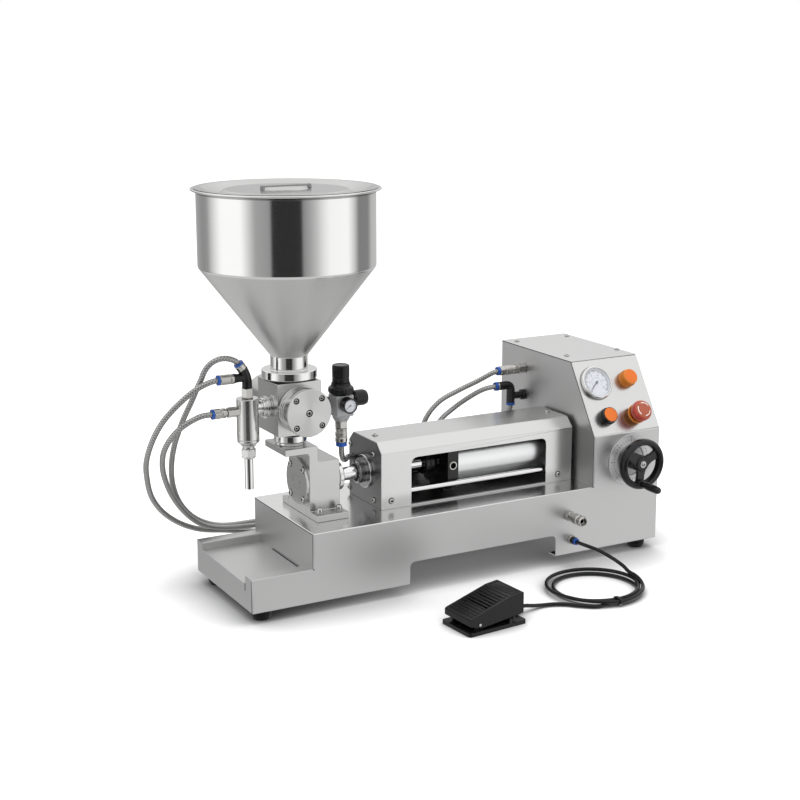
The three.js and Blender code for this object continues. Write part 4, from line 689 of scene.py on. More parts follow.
def pedal_route():
    """Down from the port, two and a third turns of coil on the floor, and on to the pedal."""
    start, sweep = 4.7, 838.7      # degrees
    coil = []
    for k in range(int(sweep / 12) + 1):      # a point every 12 degrees
        t = k * 12 / sweep
        angle = math.radians(start - sweep * t)
        radius, height = coil_at(t)
        coil.append((*around_coil(radius, angle), height))
    return PEDAL_LEAD + coil + PEDAL_TAIL


hose("pedal_hose", pedal_route(), 6, PEDAL_HOSE, "hose black",
     ["pedal_hose_lead", "pedal_hose_coil", "pedal_hose_tail"], sides=16)


# Floor, world and lamps

def stage_floor():
    mesh = bpy.data.meshes.new("floor")
    r = 12.0
    mesh.from_pydata([(-r, -r, 0), (r, -r, 0), (r, r, 0), (-r, r, 0)], [], [(0, 1, 2, 3)])
    floor = put("floor", mesh)
    s = Shader("floor")
    # The floor's colour and its glow towards the camera both darken with ambient occlusion near the machine:
    # a painted shadow.
    near = s.add("ShaderNodeAmbientOcclusion", {"Distance": 0.16}, samples=24)
    painted_shadow_ao = s.math("POWER", near.outputs["AO"], 1.5)
    seen = s.add("ShaderNodeLightPath").outputs["Is Camera Ray"]
    s.set({"Base Color": s.mix(painted_shadow_ao, (0.09, 0.09, 0.09), (0.95, 0.95, 0.95)), "Roughness": 0.9,
           "Specular IOR Level": 0.0, "Emission Color": (1, 1, 1, 1),
           "Emission Strength": s.math("MULTIPLY", seen, s.math("MULTIPLY", painted_shadow_ao, 0.17))})
    mesh.materials.append(s.material)
    floor.visible_glossy = False


def stage_world():
    """A white studio: bright sheets at both sides and above, with darker gaps between them."""
    world = bpy.data.worlds.new("studio")
    bpy.context.scene.world = world
    world.use_nodes = True
    w = Nodes(world.node_tree)
    split = w.add("ShaderNodeSeparateXYZ", {"Vector": w.add("ShaderNodeTexCoord").outputs["Generated"]})

    def ramp(value, stops):
        node = w.add("ShaderNodeValToRGB", {"Fac": value})
        elements = node.color_ramp.elements
        for k, (where, tone) in enumerate(stops):
            element = elements[k] if k < 2 else elements.new(where)
            element.position = where
            element.color = (tone, tone, tone, 1)
        return node.outputs["Color"]

    # Round the room: degrees from the view's direction, and brightness
    bands = [(-180, 0.58), (-165, 0.5), (-150, 0.4), (-128, 0.33), (-116, 0.38), (-108, 0.66), (-97, 1.0),
             (-87, 1.28), (-56, 1.28), (-46, 0.86), (-36, 0.46), (-17, 0.38), (-14, 0.035), (22.5, 0.035),
             (25, 0.32), (33, 0.45), (42, 0.66), (50, 0.95), (60, 1.2), (88, 1.25), (100, 0.72), (108, 0.27),
             (130, 0.28), (142, 0.6), (180, 0.6)]
    view = math.radians(118.8)
    azimuth = w.math("ARCTAN2", split.outputs["Y"], split.outputs["X"])
    share = w.math("DIVIDE", w.math("ADD", azimuth, view + math.pi), math.tau)
    level = ramp(w.math("FRACT", share), sorted(((phi + 180) / 360, tone / 2) for phi, tone in bands))
    rise = w.math("MULTIPLY_ADD", split.outputs["Z"], 0.5, 0.5)
    above = ramp(rise, [(0.0, 0.0), (0.54, 0.0), (0.60, 1.0), (1.0, 1.0)])
    below = ramp(rise, [(0.0, 1.0), (0.27, 1.0), (0.33, 0.0), (1.0, 0.0)])
    overhead = ramp(rise, [(0.0, 0.41), (0.63, 0.41), (0.80, 0.58), (1.0, 0.58)])
    room = w.mix(below, w.mix(above, level, overhead), (0.36, 0.36, 0.36))
    seen = w.mix(w.add("ShaderNodeLightPath").outputs["Is Camera Ray"], room, (0.5, 0.5, 0.5))
    background = w.tree.nodes["Background"]
    w.fill(background.inputs["Color"], seen)
    w.fill(background.inputs["Strength"], 2.0)
    world.cycles.sampling_method = "NONE"


def lamp(name, size, where, towards, energy):
    data = bpy.data.lights.new(name, "AREA")
    data.shape = "RECTANGLE"
    data.size, data.size_y = size
    data.energy = energy
    obj = put(name, data)
    obj.location = where
    obj.rotation_euler = (Vector(towards) - Vector(where)).to_track_quat("-Z", "Y").to_euler()
    obj.visible_camera = False
    obj.visible_glossy = False


stage_floor()
stage_world()
lamp("top", (1.8, 1.4), (0.25, -0.15, 2.6), (0.0, 0.0, 0.1), 26)
lamp("side", (1.2, 1.2), (2.0, -1.6, 1.7), (0.1, 0.0, 0.2), 9)


# Pieces remade with round, finished surfaces

HOSE_HOLE = AIR_HOSE + 0.05
ORIGIN = (0, 0, 0)
MIDDLE = 127                          # how far back the nozzle, the hopper and the pistons stand
STEM, NOZZLE_STEM = 134, 53.5         # the upright axes of the hopper and of the nozzle, from the left
VALVE_HEIGHT, PISTON_HEIGHT = 347, 204
PANEL_FOOT = (706, 243)          # the left end of the sloping panel's lower edge, across and up
RISE, LEAN = 0.844722, 0.535205  # how far the panel goes up and back for each millimetre along its slope
PANEL_OUT = (0, -RISE, LEAN)
BUTTONS = {"start": (39, 35), "power": (111, 105), "stop": (103, 31)}      # along the panel and up its slope


def on_panel(along, up, out=0.0):
    """A point of the sloping panel, in base millimetres."""
    return (PANEL_FOOT[0] + along, up * LEAN - out * RISE, PANEL_FOOT[1] + up * RISE + out * LEAN)


def from_panel(x, y, z):
    """How far a point lies along the panel, up its slope and out of it."""
    z -= PANEL_FOOT[1]
    return x - PANEL_FOOT[0], y * LEAN + z * RISE, z * LEAN - y * RISE


def prism(name, outline, low, high, origin, axis, material, node=None, slot=None, bevel=0.4, segments=2,
          spin=0.0):
    """An outline drawn out along the axis, with its edges rounded."""
    verts, faces = column(outline, low, high, axis_matrix(origin, axis, spin))
    obj = build(name, verts, faces, material, node, slot, angle=math.radians(60), weighted=False)
    if bevel:
        broken_edges(obj, bevel, segments, 30)
    return weigh(obj)


def box_outline(x0, y0, x1, y1):
    return [(x0, y0), (x1, y0), (x1, y1), (x0, y1)]


def ring(name, inner, outer, low, high, origin, axis, material, **more):
    """A plain ring about an axis."""
    return turned(name, [(inner, low), (outer, low), (outer, high), (inner, high)], origin, axis, material,
                  closed=True, **more)


def marks(name, strokes, height, origin, axis, material, body=None):
    """Printed strokes on a face. A stroke is (inner radius, outer radius, middle, half width in degrees)."""
    matrix = axis_matrix(origin, axis)
    verts, faces = [], []
    for inner, outer, middle, half in strokes:
        steps = max(1, round(half / 4))
        first = len(verts)
        for k in range(steps + 1):
            angle = math.radians(middle - half + 2 * half * k / steps)
            for radius in (inner, outer):
                rise = height(radius) if callable(height) else height
                verts.append(matrix @ Vector((*polar(radius, angle), rise)))
        for k in range(steps):
            a = first + 2 * k
            faces.append((a, a + 1, a + 3, a + 2))
    return build(name, verts, faces, material, body=body, weighted=False)


def digits(name, text, size, origin, axis, at, spin=0.0):
    """A plain number printed on a face."""
    curve = bpy.data.curves.new(name, "FONT")
    curve.body = text
    curve.size = size
    curve.align_x = "CENTER"
    curve.align_y = "CENTER"
    holder = put(name + "_line", curve)
    mesh = finished_mesh(holder)
    bpy.data.objects.remove(holder)
    matrix = axis_matrix(origin, axis) @ Matrix.Translation(Vector(at)) @ Matrix.Rotation(spin, 4, "Z")
    for vertex in mesh.vertices:
        vertex.co = place(*(matrix @ vertex.co))
    mesh.materials.clear()
    mesh.materials.append(M["tick"])
    link_object(name, mesh)


def screw(name, origin, axis, radius=5.0, height=3.0, body=None, socket=0.5, spin=0.3):
    """A round-headed screw with a six-sided socket. A near-black ring round the head's foot and the
    near-black socket are painted shade.
    """
    steps = 24
    hole = radius * socket
    outline = [(radius + 1.3, 0.06, 0), (radius, 0.08, 0), (radius, 0.3 * height, 0),
               (0.95 * radius, 0.62 * height, 0), (0.82 * radius, 0.88 * height, 0),
               (0.66 * radius, height, 0), (hole, height, 1), (hole, 0.35 * height, 1)]
    matrix = axis_matrix(origin, axis, spin)
    verts = []
    for r, h, six in outline:
        for i in range(steps):
            angle = math.tau * i / steps
            verts.append(matrix @ Vector((*polar(r * six_flats(angle) if six else r, angle), h)))
    faces, indices = [], []
    for k in range(len(outline) - 1):
        faces += wall(k * steps, (k + 1) * steps, steps)
        indices += [1 if k in (0, 6) else 0] * steps
    last = (len(outline) - 1) * steps
    faces.append(tuple(range(last, last + steps)))
    indices.append(1)
    return build(name, verts, faces, ["screw", "dark"], body=body, indices=indices)


def drilled(obj, holes, axis, deep):
    """Round holes cut straight into a piece, their walls near-black as painted shade. A hole is (place in
    base millimetres, radius).
    """
    verts, faces = [], []
    for origin, radius in holes:
        more, sides = column(circle(radius, 40), -deep, deep, axis_matrix(origin, axis), len(verts))
        verts += more
        faces += sides
    mesh = bpy.data.meshes.new(obj.name + "_holes")
    mesh.from_pydata([place(*v) for v in verts], [], faces)
    mesh.materials.append(M["dark"])
    cutter = put(obj.name + "_holes", mesh)
    cut = obj.modifiers.new("holes", "BOOLEAN")
    cut.operation = "DIFFERENCE"
    cut.solver = "EXACT"
    cut.material_mode = "TRANSFER"
    cut.object = cutter
    others = [m for m in obj.modifiers if m != cut]
    for m in others:
        m.show_viewport = False
    result = finished_mesh(obj)
    for m in others:
        m.show_viewport = True
    obj.modifiers.remove(cut)
    obj.data = result
    bpy.data.objects.remove(cutter)
    smooth(result)


def arc(cx, cy, radius, start, end, steps):
    """Points on an arc, with the angles in degrees."""
    offsets = (polar(radius, math.radians(start + (end - start) * k / steps)) for k in range(steps + 1))
    return [(cx + x, cy + y) for x, y in offsets]


def nut(name, radius, low, high, origin, axis, node):
    """A six-sided nut with both ends turned down."""
    flat, cut = radius * COS30 - 0.4, 1.2
    chamfer = [(flat + (radius - flat) * k / 4, cut * k / 4) for k in range(5)]
    profile = [(r, low + h) for r, h in chamfer] + [(r, high - h) for r, h in reversed(chamfer)]
    turned(name, profile, origin, axis, "nickel", node, hexagon=radius, steps=72, edge=0)


# Hopper, gasket and lid

COLUMN = (STEM, MIDDLE, 0)
BEND, BEND_START = (145.2, 596.6), -37.04      # the middle of the bend above the cone, and its lower end
knuckle = arc(*BEND, 9, BEND_START, 0, 6)
knuckle_in = arc(*BEND, 7.5, 0, BEND_START, 6)
turned(
    "hopper_shell", [(48, 396.8), (49, 397.8), (49, 410.8), (48, 411.8), (33.6, 411.8), (33, 412.6),
    (33, 436)] + knuckle + [(154.2, 723.2), (158.5, 724, 1.5), (162.4, 724.1, 1.2), (163.6, 725.6, 1.2),
    (163.2, 727.3, 1), (161.6, 727.7, 1), (152.7, 727.6)] + knuckle_in + [(31.5, 436), (31.5, 396.8)],
    COLUMN, "z", ["polished", "cone", "neck"], "hopper", steps=192, closed=True, edge=0.8,
    pick=lambda r, h: 1 if 437 < h < 588 and r > 34 else 2 if h < 437 else 0)
ring("hopper_seal", 31.5, 46, 394.3, 396.5, COLUMN, "z", "rubber", node="hopper_gasket")
# A dark band just under the rolled rim: painted shade under the bead.
ring("hopper_rim_painted_shade", 154.1, 154.7, 719.8, 722.6, COLUMN, "z", "gland", steps=192)
LID = (STEM, MIDDLE, 727.9)
below = [
    (0, -10), (34, -10, 2), (38, -4, 2), (106.5, -4, 1), (109, -6, 1), (120, -14, 3), (146, -0.6, 3),
    (150, 0, 1), (158, 0, 0.4)]
turned(
    "lid_pressing", below + [(r, h + 1.2, *rest) for r, h, *rest in reversed(below)], LID, "z", "lid", "lid",
    steps=192, edge=0.4)
strap = [
    (-46, -2.9), (-42.2, -2.9), (-41.6, 0.6), (-40.6, 1.2), (40.6, 1.2), (41.6, 0.6), (42.2, -2.9),
    (46, -2.9), (45.6, 3), (44.6, 4.2), (-44.6, 4.2), (-45.6, 3)]
prism("lid_strap", strap, -5.5, 5.5, LID, "front", "gland", "lid", "polished_steel", bevel=0.5)
for k, x in enumerate((-44, 44)):
    turned(
        f"lid_stud_{k}", [(2.4, 4.0), (2.2, 5.0), (0, 5.5)], (STEM + x, *LID[1:]), "z", "screw", body="lid",
        steps=24)

# Valve with its cover, collar and actuator

turned(
    "valve_collar_turned", [(27, 0), (27.7, 0), (27.7, 4.7), (29.5, 6.1), (29.5, 17.3), (25.9, 18.7),
    (25.9, 23.4), (20, 23.4), (20, 9.8), (27, 8)], (STEM, MIDDLE, 276.3), "z", ["polished", "black"],
    "valve_collar", closed=True, pick=lambda r, h: 1 if h > 19.2 and r > 21 else 0)
COVER = (STEM, 84.7, VALVE_HEIGHT)
grooves = [p for a in (6.2, 13.2, 20.1) for p in ((42.3, a), (40.9, a + 1.4), (42.3, a + 2.8))]
cover = turned(
    "valve_cover_turned", [(0, -4), (29.7, -4), (29.7, 0), (39.5, 0), (42.3, 1)] + grooves
    + [(42.3, 37.9), (41.5, 38.7), (0, 38.7)], COVER, "front", ["turned", "spun"], "valve_cover", steps=128,
    edge=0.3, pick=lambda r, h: 1 if h > 38.5 and r < 41.4 else 0)
bolts = [(STEM + sx * 24.2, 46, VALVE_HEIGHT + sz * 24) for sx in (-1, 1) for sz in (-1, 1)]
drilled(cover, [(p, 5.6) for p in bolts] + [((STEM, 46, VALVE_HEIGHT), 6.4)], "front", 5.5)
for k, (x, y, z) in enumerate(bolts):
    screw(f"cover_screw_{k}", (x, y + 5.4, z), "front", 4.6, 4.7, spin=0.4 * k)
screw("cover_bolt", (STEM, 51.4, VALVE_HEIGHT), "front", 5.6, 5.6, socket=0.52)
turned(
    "actuator_turned", [(9.3, 8.3), (9.3, 0), (41, 0), (41, 8), (33, 8), (33, 20), (32, 21), (32, 22.5),
    (33, 23.5), (33, 71.7), (30, 74.7)], (STEM, 169.3, VALVE_HEIGHT), "y", "turned", "valve_actuator")

# Chamber cover and flange

CHAMBER = (144.3, MIDDLE, PISTON_HEIGHT)
turned(
    "chamber_cover_turned", [(42.9, 0), (43.5, 0.6), (43.5, 5), (23.7, 5), (23.7, 9)], CHAMBER, "x",
    "machined", "chamber_cover", edge=0.3)
for k, (y, z) in enumerate(((151, 231.5), (99, 231.5), (151, 176.5), (99, 176.5))):
    screw(f"chamber_screw_{k}", (CHAMBER[0], y, z), "-x", 5.4, 3.0, spin=0.2 * k)
ring("chamber_cover_seat", 14, 15, -0.06, 0.4, CHAMBER, "-x", "turned")
turned(
    "chamber_flange_turned", [(24, 0), (28, 0), (28, 5.6), (26.4, 6.7), (26.4, 9.4), (28, 10.5), (28, 17.2),
    (26.4, 18.7), (12.8, 18.7), (12.8, 12.7), (24, 12.7)], (209.3, MIDDLE, PISTON_HEIGHT), "x", "polished",
    "chamber_flange", closed=True)
for k, (x, y) in enumerate(((162, 68), (200, 69), (162, 186), (200, 186))):
    ring(f"plate_washer_{k}", 3, 7.6, 157, 158.2, (x, y, 0), "z", "screw", steps=40, edge=0.3)
    screw(f"plate_screw_{k}", (x, y, 158.1), "z", 5.4, 9.0, spin=0.25 * k)
    ring(f"plate_washer_{k}", 4.7, 6.2, 157, 157.8, (x, y, 0), "z", "screw", steps=32)

# Filling nozzle

NOZZLE = (NOZZLE_STEM, MIDDLE, 0)
AIR_FITTING = (13.8, MIDDLE, 345)
TEE_BRANCH = (49, MIDDLE, 403.7)
TEE_ARM = (47.2, MIDDLE, 416.2)
turned(
    "nozzle_barrel", [(6, 283), (6, 281), (12.7, 281), (13.6, 283.4), (19.1, 288.6), (19.7, 289.6),
    (19.7, 293), (18.9, 293.2), (18.9, 294.3), (19.7, 294.5), (19.7, 366.2), (19, 367)], NOZZLE, "z",
    "nozzle", "nozzle_body", open_foot=True)
turned(
    "nozzle_union", [(13.6, 12), (13.6, 22.2), (12.4, 22.8), (12.4, 24.2), (16.6, 24.8), (17.2, 26),
    (17.2, 28.2), (16.2, 28.9), (16.4, 29.5), (20, 30.4), (20, 34.6), (19.4, 35.4), (17.6, 35.8),
    (17.6, 38.2)], (NOZZLE_STEM, MIDDLE, VALVE_HEIGHT), "x", "polished", "nozzle_body")
nut("nozzle_air_nut", 9.5, -1, 21.5, (35.8, MIDDLE, 345), "-x", "nozzle_body")
turned(
    "nozzle_air_sleeve", [(7, 0), (7, 2.6), (9, 3.2), (9, 8.6), (7.6, 9.4), (7.6, 11.4), (9, 12.2),
    (9, 22.6), (8, 24)], AIR_FITTING, "-x", "nickel", "nozzle_body", steps=144,
    flutes=(36, 0.35, 12.0, 22.8))
ring("nozzle_air_ring", HOSE_HOLE, 9, 24, 27.8, AIR_FITTING, "-x", "blue", slot="black_plastic")
ring("spout_tube", 6, 8, 203, 262, NOZZLE, "z", "polished", node="nozzle_spout", edge=0.35)
turned(
    "spout_nut", [(7, 259), (10.4, 259), (12.3, 260.6), (14, 264), (14, 273.4), (12.3, 276.4), (10.4, 277.2),
    (10, 280.4), (7, 280.4)], NOZZLE, "z", "machined", "nozzle_spout", "polished_steel", hexagon=14,
    steps=72, edge=0.2, closed=True)
nut("tee_nut", 11, 367.3, 385, NOZZLE, "z", "nozzle_tee")
arm = even(
    catmull([(53.5, 127, 383.5), (53.5, 127, 392), (53.2, 127, 398.5), (51.4, 127, 406), (48.6, 127, 413.2),
    (46.4, 127, 417.4)], 8), 1.5)
pipe(
    "tee_arm", arm, 7.9, "satin", "nozzle_tee", sides=48,
    radii=[9 if k < 3 else 8.7 for k in range(len(arm))])
TEE = (-0.5754, 0, 0.8179)
turned(
    "tee_mouth", [(9, 0), (9.2, 1), (9.2, 3.5), (8.4, 3.9), (9, 4.4), (9.2, 12.4), (8.4, 13.8)], TEE_ARM,
    TEE, ["nickel", "satin"], "nozzle_tee", pick=lambda r, h: 1 if h < 3.7 else 0)
ring("tee_ring", HOSE_HOLE, 9, 13.8, 17.0, TEE_ARM, TEE, "blue")
turned(
    "tee_branch", [(7.3, 0), (7.6, 12), (7.8, 16), (8.8, 19.5), (8.8, 22)], (49, MIDDLE, 404), "-x", "satin",
    "nozzle_tee")
turned(
    "tee_barrel", [(8.3, 21), (9, 22), (9, 26.5), (7.9, 27), (7.9, 28), (9, 28.6), (9, 45.8), (8, 47)],
    TEE_BRANCH, "-x", "nickel", "nozzle_tee", steps=144, flutes=(30, 0.35, 29, 45))
ring("tee_branch_ring", HOSE_HOLE, 9, 47, 50.8, TEE_BRANCH, "-x", "blue")

# Piston drive

AXIS = (0, MIDDLE, PISTON_HEIGHT)
# The gland's barrel takes the darker gland steel: a painted reflection of the dark end plate.
turned(
    "gland_turned", [(18.6, 262), (21, 264.2), (21, 277.3), (21.8, 277.7), (30.2, 277.7), (31, 278.5),
    (31, 282.7), (13, 282.7), (13, 267), (16.5, 266.4), (16.5, 262)], AXIS, "x", ["gland", "polished"],
    "rod_gland", "machined_steel", closed=True, pick=lambda r, h: 1 if r > 30 and h < 282 else 0)
ring("gland_wiper", 12.6, 16.4, 262.6, 266, AXIS, "x", "rubber")
for k, y in enumerate((74, 180)):
    turned(
        f"guide_rod_{k}_turned", [(5, 287.3), (5, 693.7)], (0, y, 172), "x", "chromed",
        ("guide_rod_front", "guide_rod_rear")[k], steps=32)
turned(
    "piston_rod_turned", [(5.95, 213.1), (5.95, 221.3), (12.5, 221.3), (12.5, 409)], AXIS, "x", "chromed",
    "piston_rod", edge=0.3)
turned(
    "coupling_turned", [(12.8, 399), (20, 399), (22, 401), (22, 409), (21.2, 409.6), (21.2, 410.6),
    (22, 411.2), (22, 419), (15, 421), (15, 428), (11.3, 428), (11.3, 420), (12.8, 409.3)], AXIS, "x",
    "satin", "rod_coupling", closed=True)
turned(
    "air_piston_turned", [(11, 420.3), (11, 642), (42.2, 642), (42.2, 656)], AXIS, "x", "chromed",
    "air_piston", "machined_steel")
ring("cylinder_tube", 42.5, 45, 455, 664, AXIS, "x", "tube", node="cylinder_barrel", steps=144, edge=0.3)
half, ease = (46.5, 7.0)
square = [
    (half, ease - half), (half, half - ease), (half - ease, half), (ease - half, half), (-half, half - ease),
    (-half, ease - half), (ease - half, -half), (half - ease, -half)]
prism("cylinder_rear_head", square, 664, 686, AXIS, "x", "tube", "cylinder_barrel", bevel=0.8)
prism(
    "cylinder_rear_foot", box_outline(666, 101.5, 684, 152.5), 148.6, 158.5, ORIGIN, "z", "tube",
    "cylinder_barrel")
turned("cylinder_rear_spigot", [(16.5, 685), (16.5, 693.7)], AXIS, "x", "tube", "cylinder_barrel", steps=48)
ring("air_port_ring", 5.9, 7.9, -1.0, 0.35, (443.4, 80.5, 203), "front", "nickel", steps=48, edge=0.3)

# Regulator with its knobs and gauge

REGULATOR = (224, 105, 0)
prism(
    "regulator_block", box_outline(206.7, 87.7, 241.3, 122.0), 321, 359.4, ORIGIN, "z", "grey",
    "regulator_body", bevel=2.2, segments=4)
turned(
    "regulator_foot", [(12.4, 311), (13.2, 313), (15.6, 317), (16.6, 321.6), (0, 322)], REGULATOR, "z",
    "grey", "regulator_body")
turned(
    "regulator_bonnet", [(16.3, 359), (16.3, 362), (22, 363), (23, 365), (23, 370.6), (22.2, 372.4),
    (18.4, 375.4), (17.2, 378.4), (17, 381)], REGULATOR, "z", "black", "regulator_body", steps=144,
    flutes=(24, 0.7, 363.5, 371.5))
nut("regulator_nut", 12, 298, 311.6, REGULATOR, "z", "regulator_body")
turned(
    "regulator_sleeve", [(10.4, 272), (11, 273), (11, 279.5), (10.2, 280.4), (10.2, 282), (11, 283),
    (11, 290.4), (9.6, 291.4), (9.6, 293.2), (10.8, 294), (10.8, 296.4), (8.5, 298)], REGULATOR, "z",
    "nickel", "regulator_body", steps=144, flutes=(36, 0.3, 283, 290.6))
ring("regulator_ring", HOSE_HOLE, 10, 264.3, 271.4, REGULATOR, "z", "blue", node="regulator_body", edge=0.8)
prism(
    "regulator_arm", [(176.3, 96), (179.3, 96), (179.3, 122), (241.3, 122), (241.3, 125), (176.3, 125)], 330,
    353, ORIGIN, "z", "machined", "regulator_body", "grey_black_metal")
turned(
    "regulator_knob_turned", [(7, -12), (7, 0.3), (15.2, 0.3), (15.5, 1.2), (15.5, 7), (14.9, 7.6),
    (14.9, 8.8), (15.5, 9.4), (15.5, 30.2), (14.2, 32), (12.6, 32), (12, 31.3), (0, 31.2)], (224, 105, 381),
    "z", "black", "regulator_knob", steps=144, flutes=(24, 0.7, 9.8, 30))
turned(
    "regulator_side_knob_turned", [(3.5, -6), (3.5, 4.7), (12.6, 4.7), (14.5, 8), (14.5, 26), (12.6, 31.7),
    (11.4, 31.7), (10.8, 31), (0, 30.9)], (241.3, 105, 349), "x", "black", "regulator_side_knob", steps=144,
    flutes=(24, 0.6, 9, 25))
SMALL = (224, 87.7, 345)
turned(
    "regulator_gauge_case", [(3.5, -6), (3.5, 0.3), (10, 0.3), (14, 5.3), (14, 20.5), (13, 21.7),
    (12.2, 21.7), (11.5, 21), (11.5, 18.7)], SMALL, "front", "satin", "regulator_gauge")
turned("regulator_gauge_dial", [(11.4, 18.74), (11.4, 18.8)], SMALL, "front", "dial", steps=64, edge=0)
marks(
    "regulator_gauge_scale", [(8.6, 10.4, -45 + 270 * k / 20, 0.9 if k % 5 else 1.8) for k in range(21)]
    + [(10.5, 10.8, 90, 135)], 18.86, SMALL, "front", "ink")
turned(
    "regulator_gauge_glass", [(11.4, 20.6), (11.4, 21.1), (0, 21.2)], SMALL, "front", "glass", steps=64,
    edge=0)

# Gauge and buttons on the panel

DIAL = on_panel(39, 105)
turned(
    "gauge_bezel", [(25, -24), (27, -22), (27, 0.3), (32.4, 0.3), (33, 1.2), (33, 6.4), (32.2, 8.2, 0.8),
    (30.8, 9), (29.6, 8.8), (29, 7.8), (29, 4)], DIAL, PANEL_OUT, "polished", "gauge_case", steps=144,
    edge=0.8)
ring("gauge_gap", 32.4, 34.4, 0.05, 0.4, DIAL, PANEL_OUT, "gland", steps=96)
turned("gauge_dial", [(28.9, 4.05), (28.9, 4.12)], DIAL, PANEL_OUT, "dial", steps=96, edge=0)
scale = [(22.2 if k % 5 else 20.4, 25.4, 225 - 270 * k / 50, 0.75 if k % 5 else 1.6) for k in range(51)]
marks("gauge_scale", scale + [(25.4, 26.1, 90, 135), (10.4, 10.9, 90, 135)], 4.2, DIAL, PANEL_OUT, "tick")
for k in range(6):
    angle = math.radians(225 - 54 * k)
    digits(f"gauge_number_{k}", str(2 * k), 5.8, DIAL, PANEL_OUT, (*polar(16.2, angle), 4.2))
turned("gauge_glass", [(28.9, 7.2), (28.9, 7.7), (0, 7.8)], DIAL, PANEL_OUT, "glass", steps=96, edge=0)

START, POWER, STOP = (on_panel(*at) for at in BUTTONS.values())
turned(
    "start_button_cap", [(8, -8), (8, 8.3), (14.6, 8.3), (15.2, 9), (15.2, 16.4), (14.9, 17.4), (14.4, 17.6),
    (14.1, 17.2), (13.9, 17.2), (13.7, 17.8), (13.2, 18.1), (0, 18.4)], START, PANEL_OUT,
    ["black", "orange"], "start_button", "orange_plastic", edge=0.3,
    pick=lambda r, h: 1 if h > 17 and r < 13.95 else 0)
turned(
    "power_button_cap", [(8, -8), (8, 8.3), (15, 8.3), (15.5, 9), (15.5, 16.6), (14.8, 18.2), (13.6, 18.7),
    (13, 18.3), (12.4, 18.8), (0, 19.2)], POWER, PANEL_OUT, ["amber", "orange"], "power_button", edge=0.3,
    pick=lambda r, h: 1 if h > 18.2 and r < 13.1 else 0)
ring("start_guard", 15.4, 16.6, 3.6, 9.4, START, PANEL_OUT, "black")
ring("power_guard", 15.75, 17.0, 3.6, 9.4, POWER, PANEL_OUT, "amber")
turned(
    "stop_skirt", [(10.8, 4.6), (12.6, 4.6), (14, 6.6), (18.4, 7.6, 1), (19.2, 10.4, 1), (18, 11.2),
    (16.4, 10.6), (14.6, 8.6), (11.4, 6.8)], STOP, PANEL_OUT, "amber", closed=True)
turned(
    "stop_button_head", [(10, -10), (10, 14), (13.6, 15.6), (18.4, 19), (20, 23.6), (20, 30.2),
    (19, 33.2, 1.5), (16.6, 35.2, 1.5), (11, 36.9), (10.6, 36.5), (0, 37.2)], STOP, PANEL_OUT,
    ["red", "paler_red_top"], "stop_button", edge=0.6, pick=lambda r, h: 1 if h > 35 else 0)
marks(
    "stop_arcs", [(12.2, 13.8, a, 38) for a in (65, 185, 305)], lambda r: 36.98 - (r - 11) * 1.7 / 5.6, STOP,
    PANEL_OUT, "white", body="stop_button")

# Dial ring, handwheel and its handle

WHEEL = (791, 0, 188)
turned(
    "dial_ring_turned", [(31, 0.3), (51, 0.3), (51, 1.5), (50.4, 1.9), (49, 1.9), (48.6, 1.6), (33, 1.6),
    (32.6, 1.9), (31.4, 1.9), (31, 1.6)], WHEEL, "front", "ring", "dial_ring", closed=True, steps=144,
    edge=0.2)
marks(
    "dial_ring_scale", [(36.5 if k % 5 == 0 else 38.2, 40.8, 9 * k, 0.9) for k in range(40)], 1.7, WHEEL,
    "front", "tick")
for k in range(8):
    angle = math.radians(90 - 45 * k)
    digits(
        f"dial_ring_number_{k}", str(k), 7.0, WHEEL, "front", (*polar(44.6, angle), 1.7),
        angle - math.pi / 2)
turned(
    "handwheel_rim", [(36.2, 31), (40, 27.6), (44, 26, 1.6), (47.4, 28.2, 2), (49, 33, 2), (49, 39.6, 2),
    (46.8, 43.8, 2), (43, 46, 2), (40.4, 45.6, 1.4), (38, 43, 1.4), (36.2, 38)], WHEEL, "front", "satin",
    "handwheel", steps=144, closed=True, edge=1.6)
for k in range(3):
    side = [(37.4, 10.5), (30, 8.6), (22, 8.4), (15, 9.6), (8, 12.5)]
    outline = [(x, -y) for x, y in reversed(side)] + side
    prism(
        f"handwheel_spoke_{k}", outline, 32, 38, WHEEL, "front", "satin", "handwheel", bevel=1.4, segments=3,
        spin=-1.66 + k * math.tau / 3)
turned(
    "handwheel_hub", [(6, -60), (6, 2.1), (15, 2.1), (16, 3.1), (16, 30), (14.4, 32), (14.4, 38.4),
    (13, 40.2), (9, 40.6)], WHEEL, "front", "satin", "handwheel", edge=1)
ring("handwheel_washer", 4.0, 6.6, 40.4, 41.6, WHEEL, "front", "screw", body="handwheel", steps=48)
screw("handwheel_screw", (791, -41.2, 188), "front", 4.3, 2.6, "handwheel")
CRANK = (787.62, 0, 150.15)
turned(
    "handwheel_lug", [(3.3, 29), (8, 30.6), (8.4, 36), (8, 43), (7, 44), (3.3, 44)], CRANK, "front", "satin",
    "handwheel", closed=True, steps=48, edge=0.8)
turned(
    "crank_grip", [(3, 30), (3, 47), (4.6, 47), (5.2, 47.8), (5.4, 50), (6.2, 56), (7, 62), (7.2, 76),
    (7, 90), (6.2, 94, 1.5), (4, 96, 1.5), (0, 96.4)], CRANK, "front", "satin", "handwheel_handle", steps=64,
    edge=0.5)

# Fittings in the walls

SIDE_TEE = (642, 244, 300)
INLET = (649, 0, 98)
nut("inlet_nut", 10, 0.3, 12, INLET, "front", "inlet_socket")
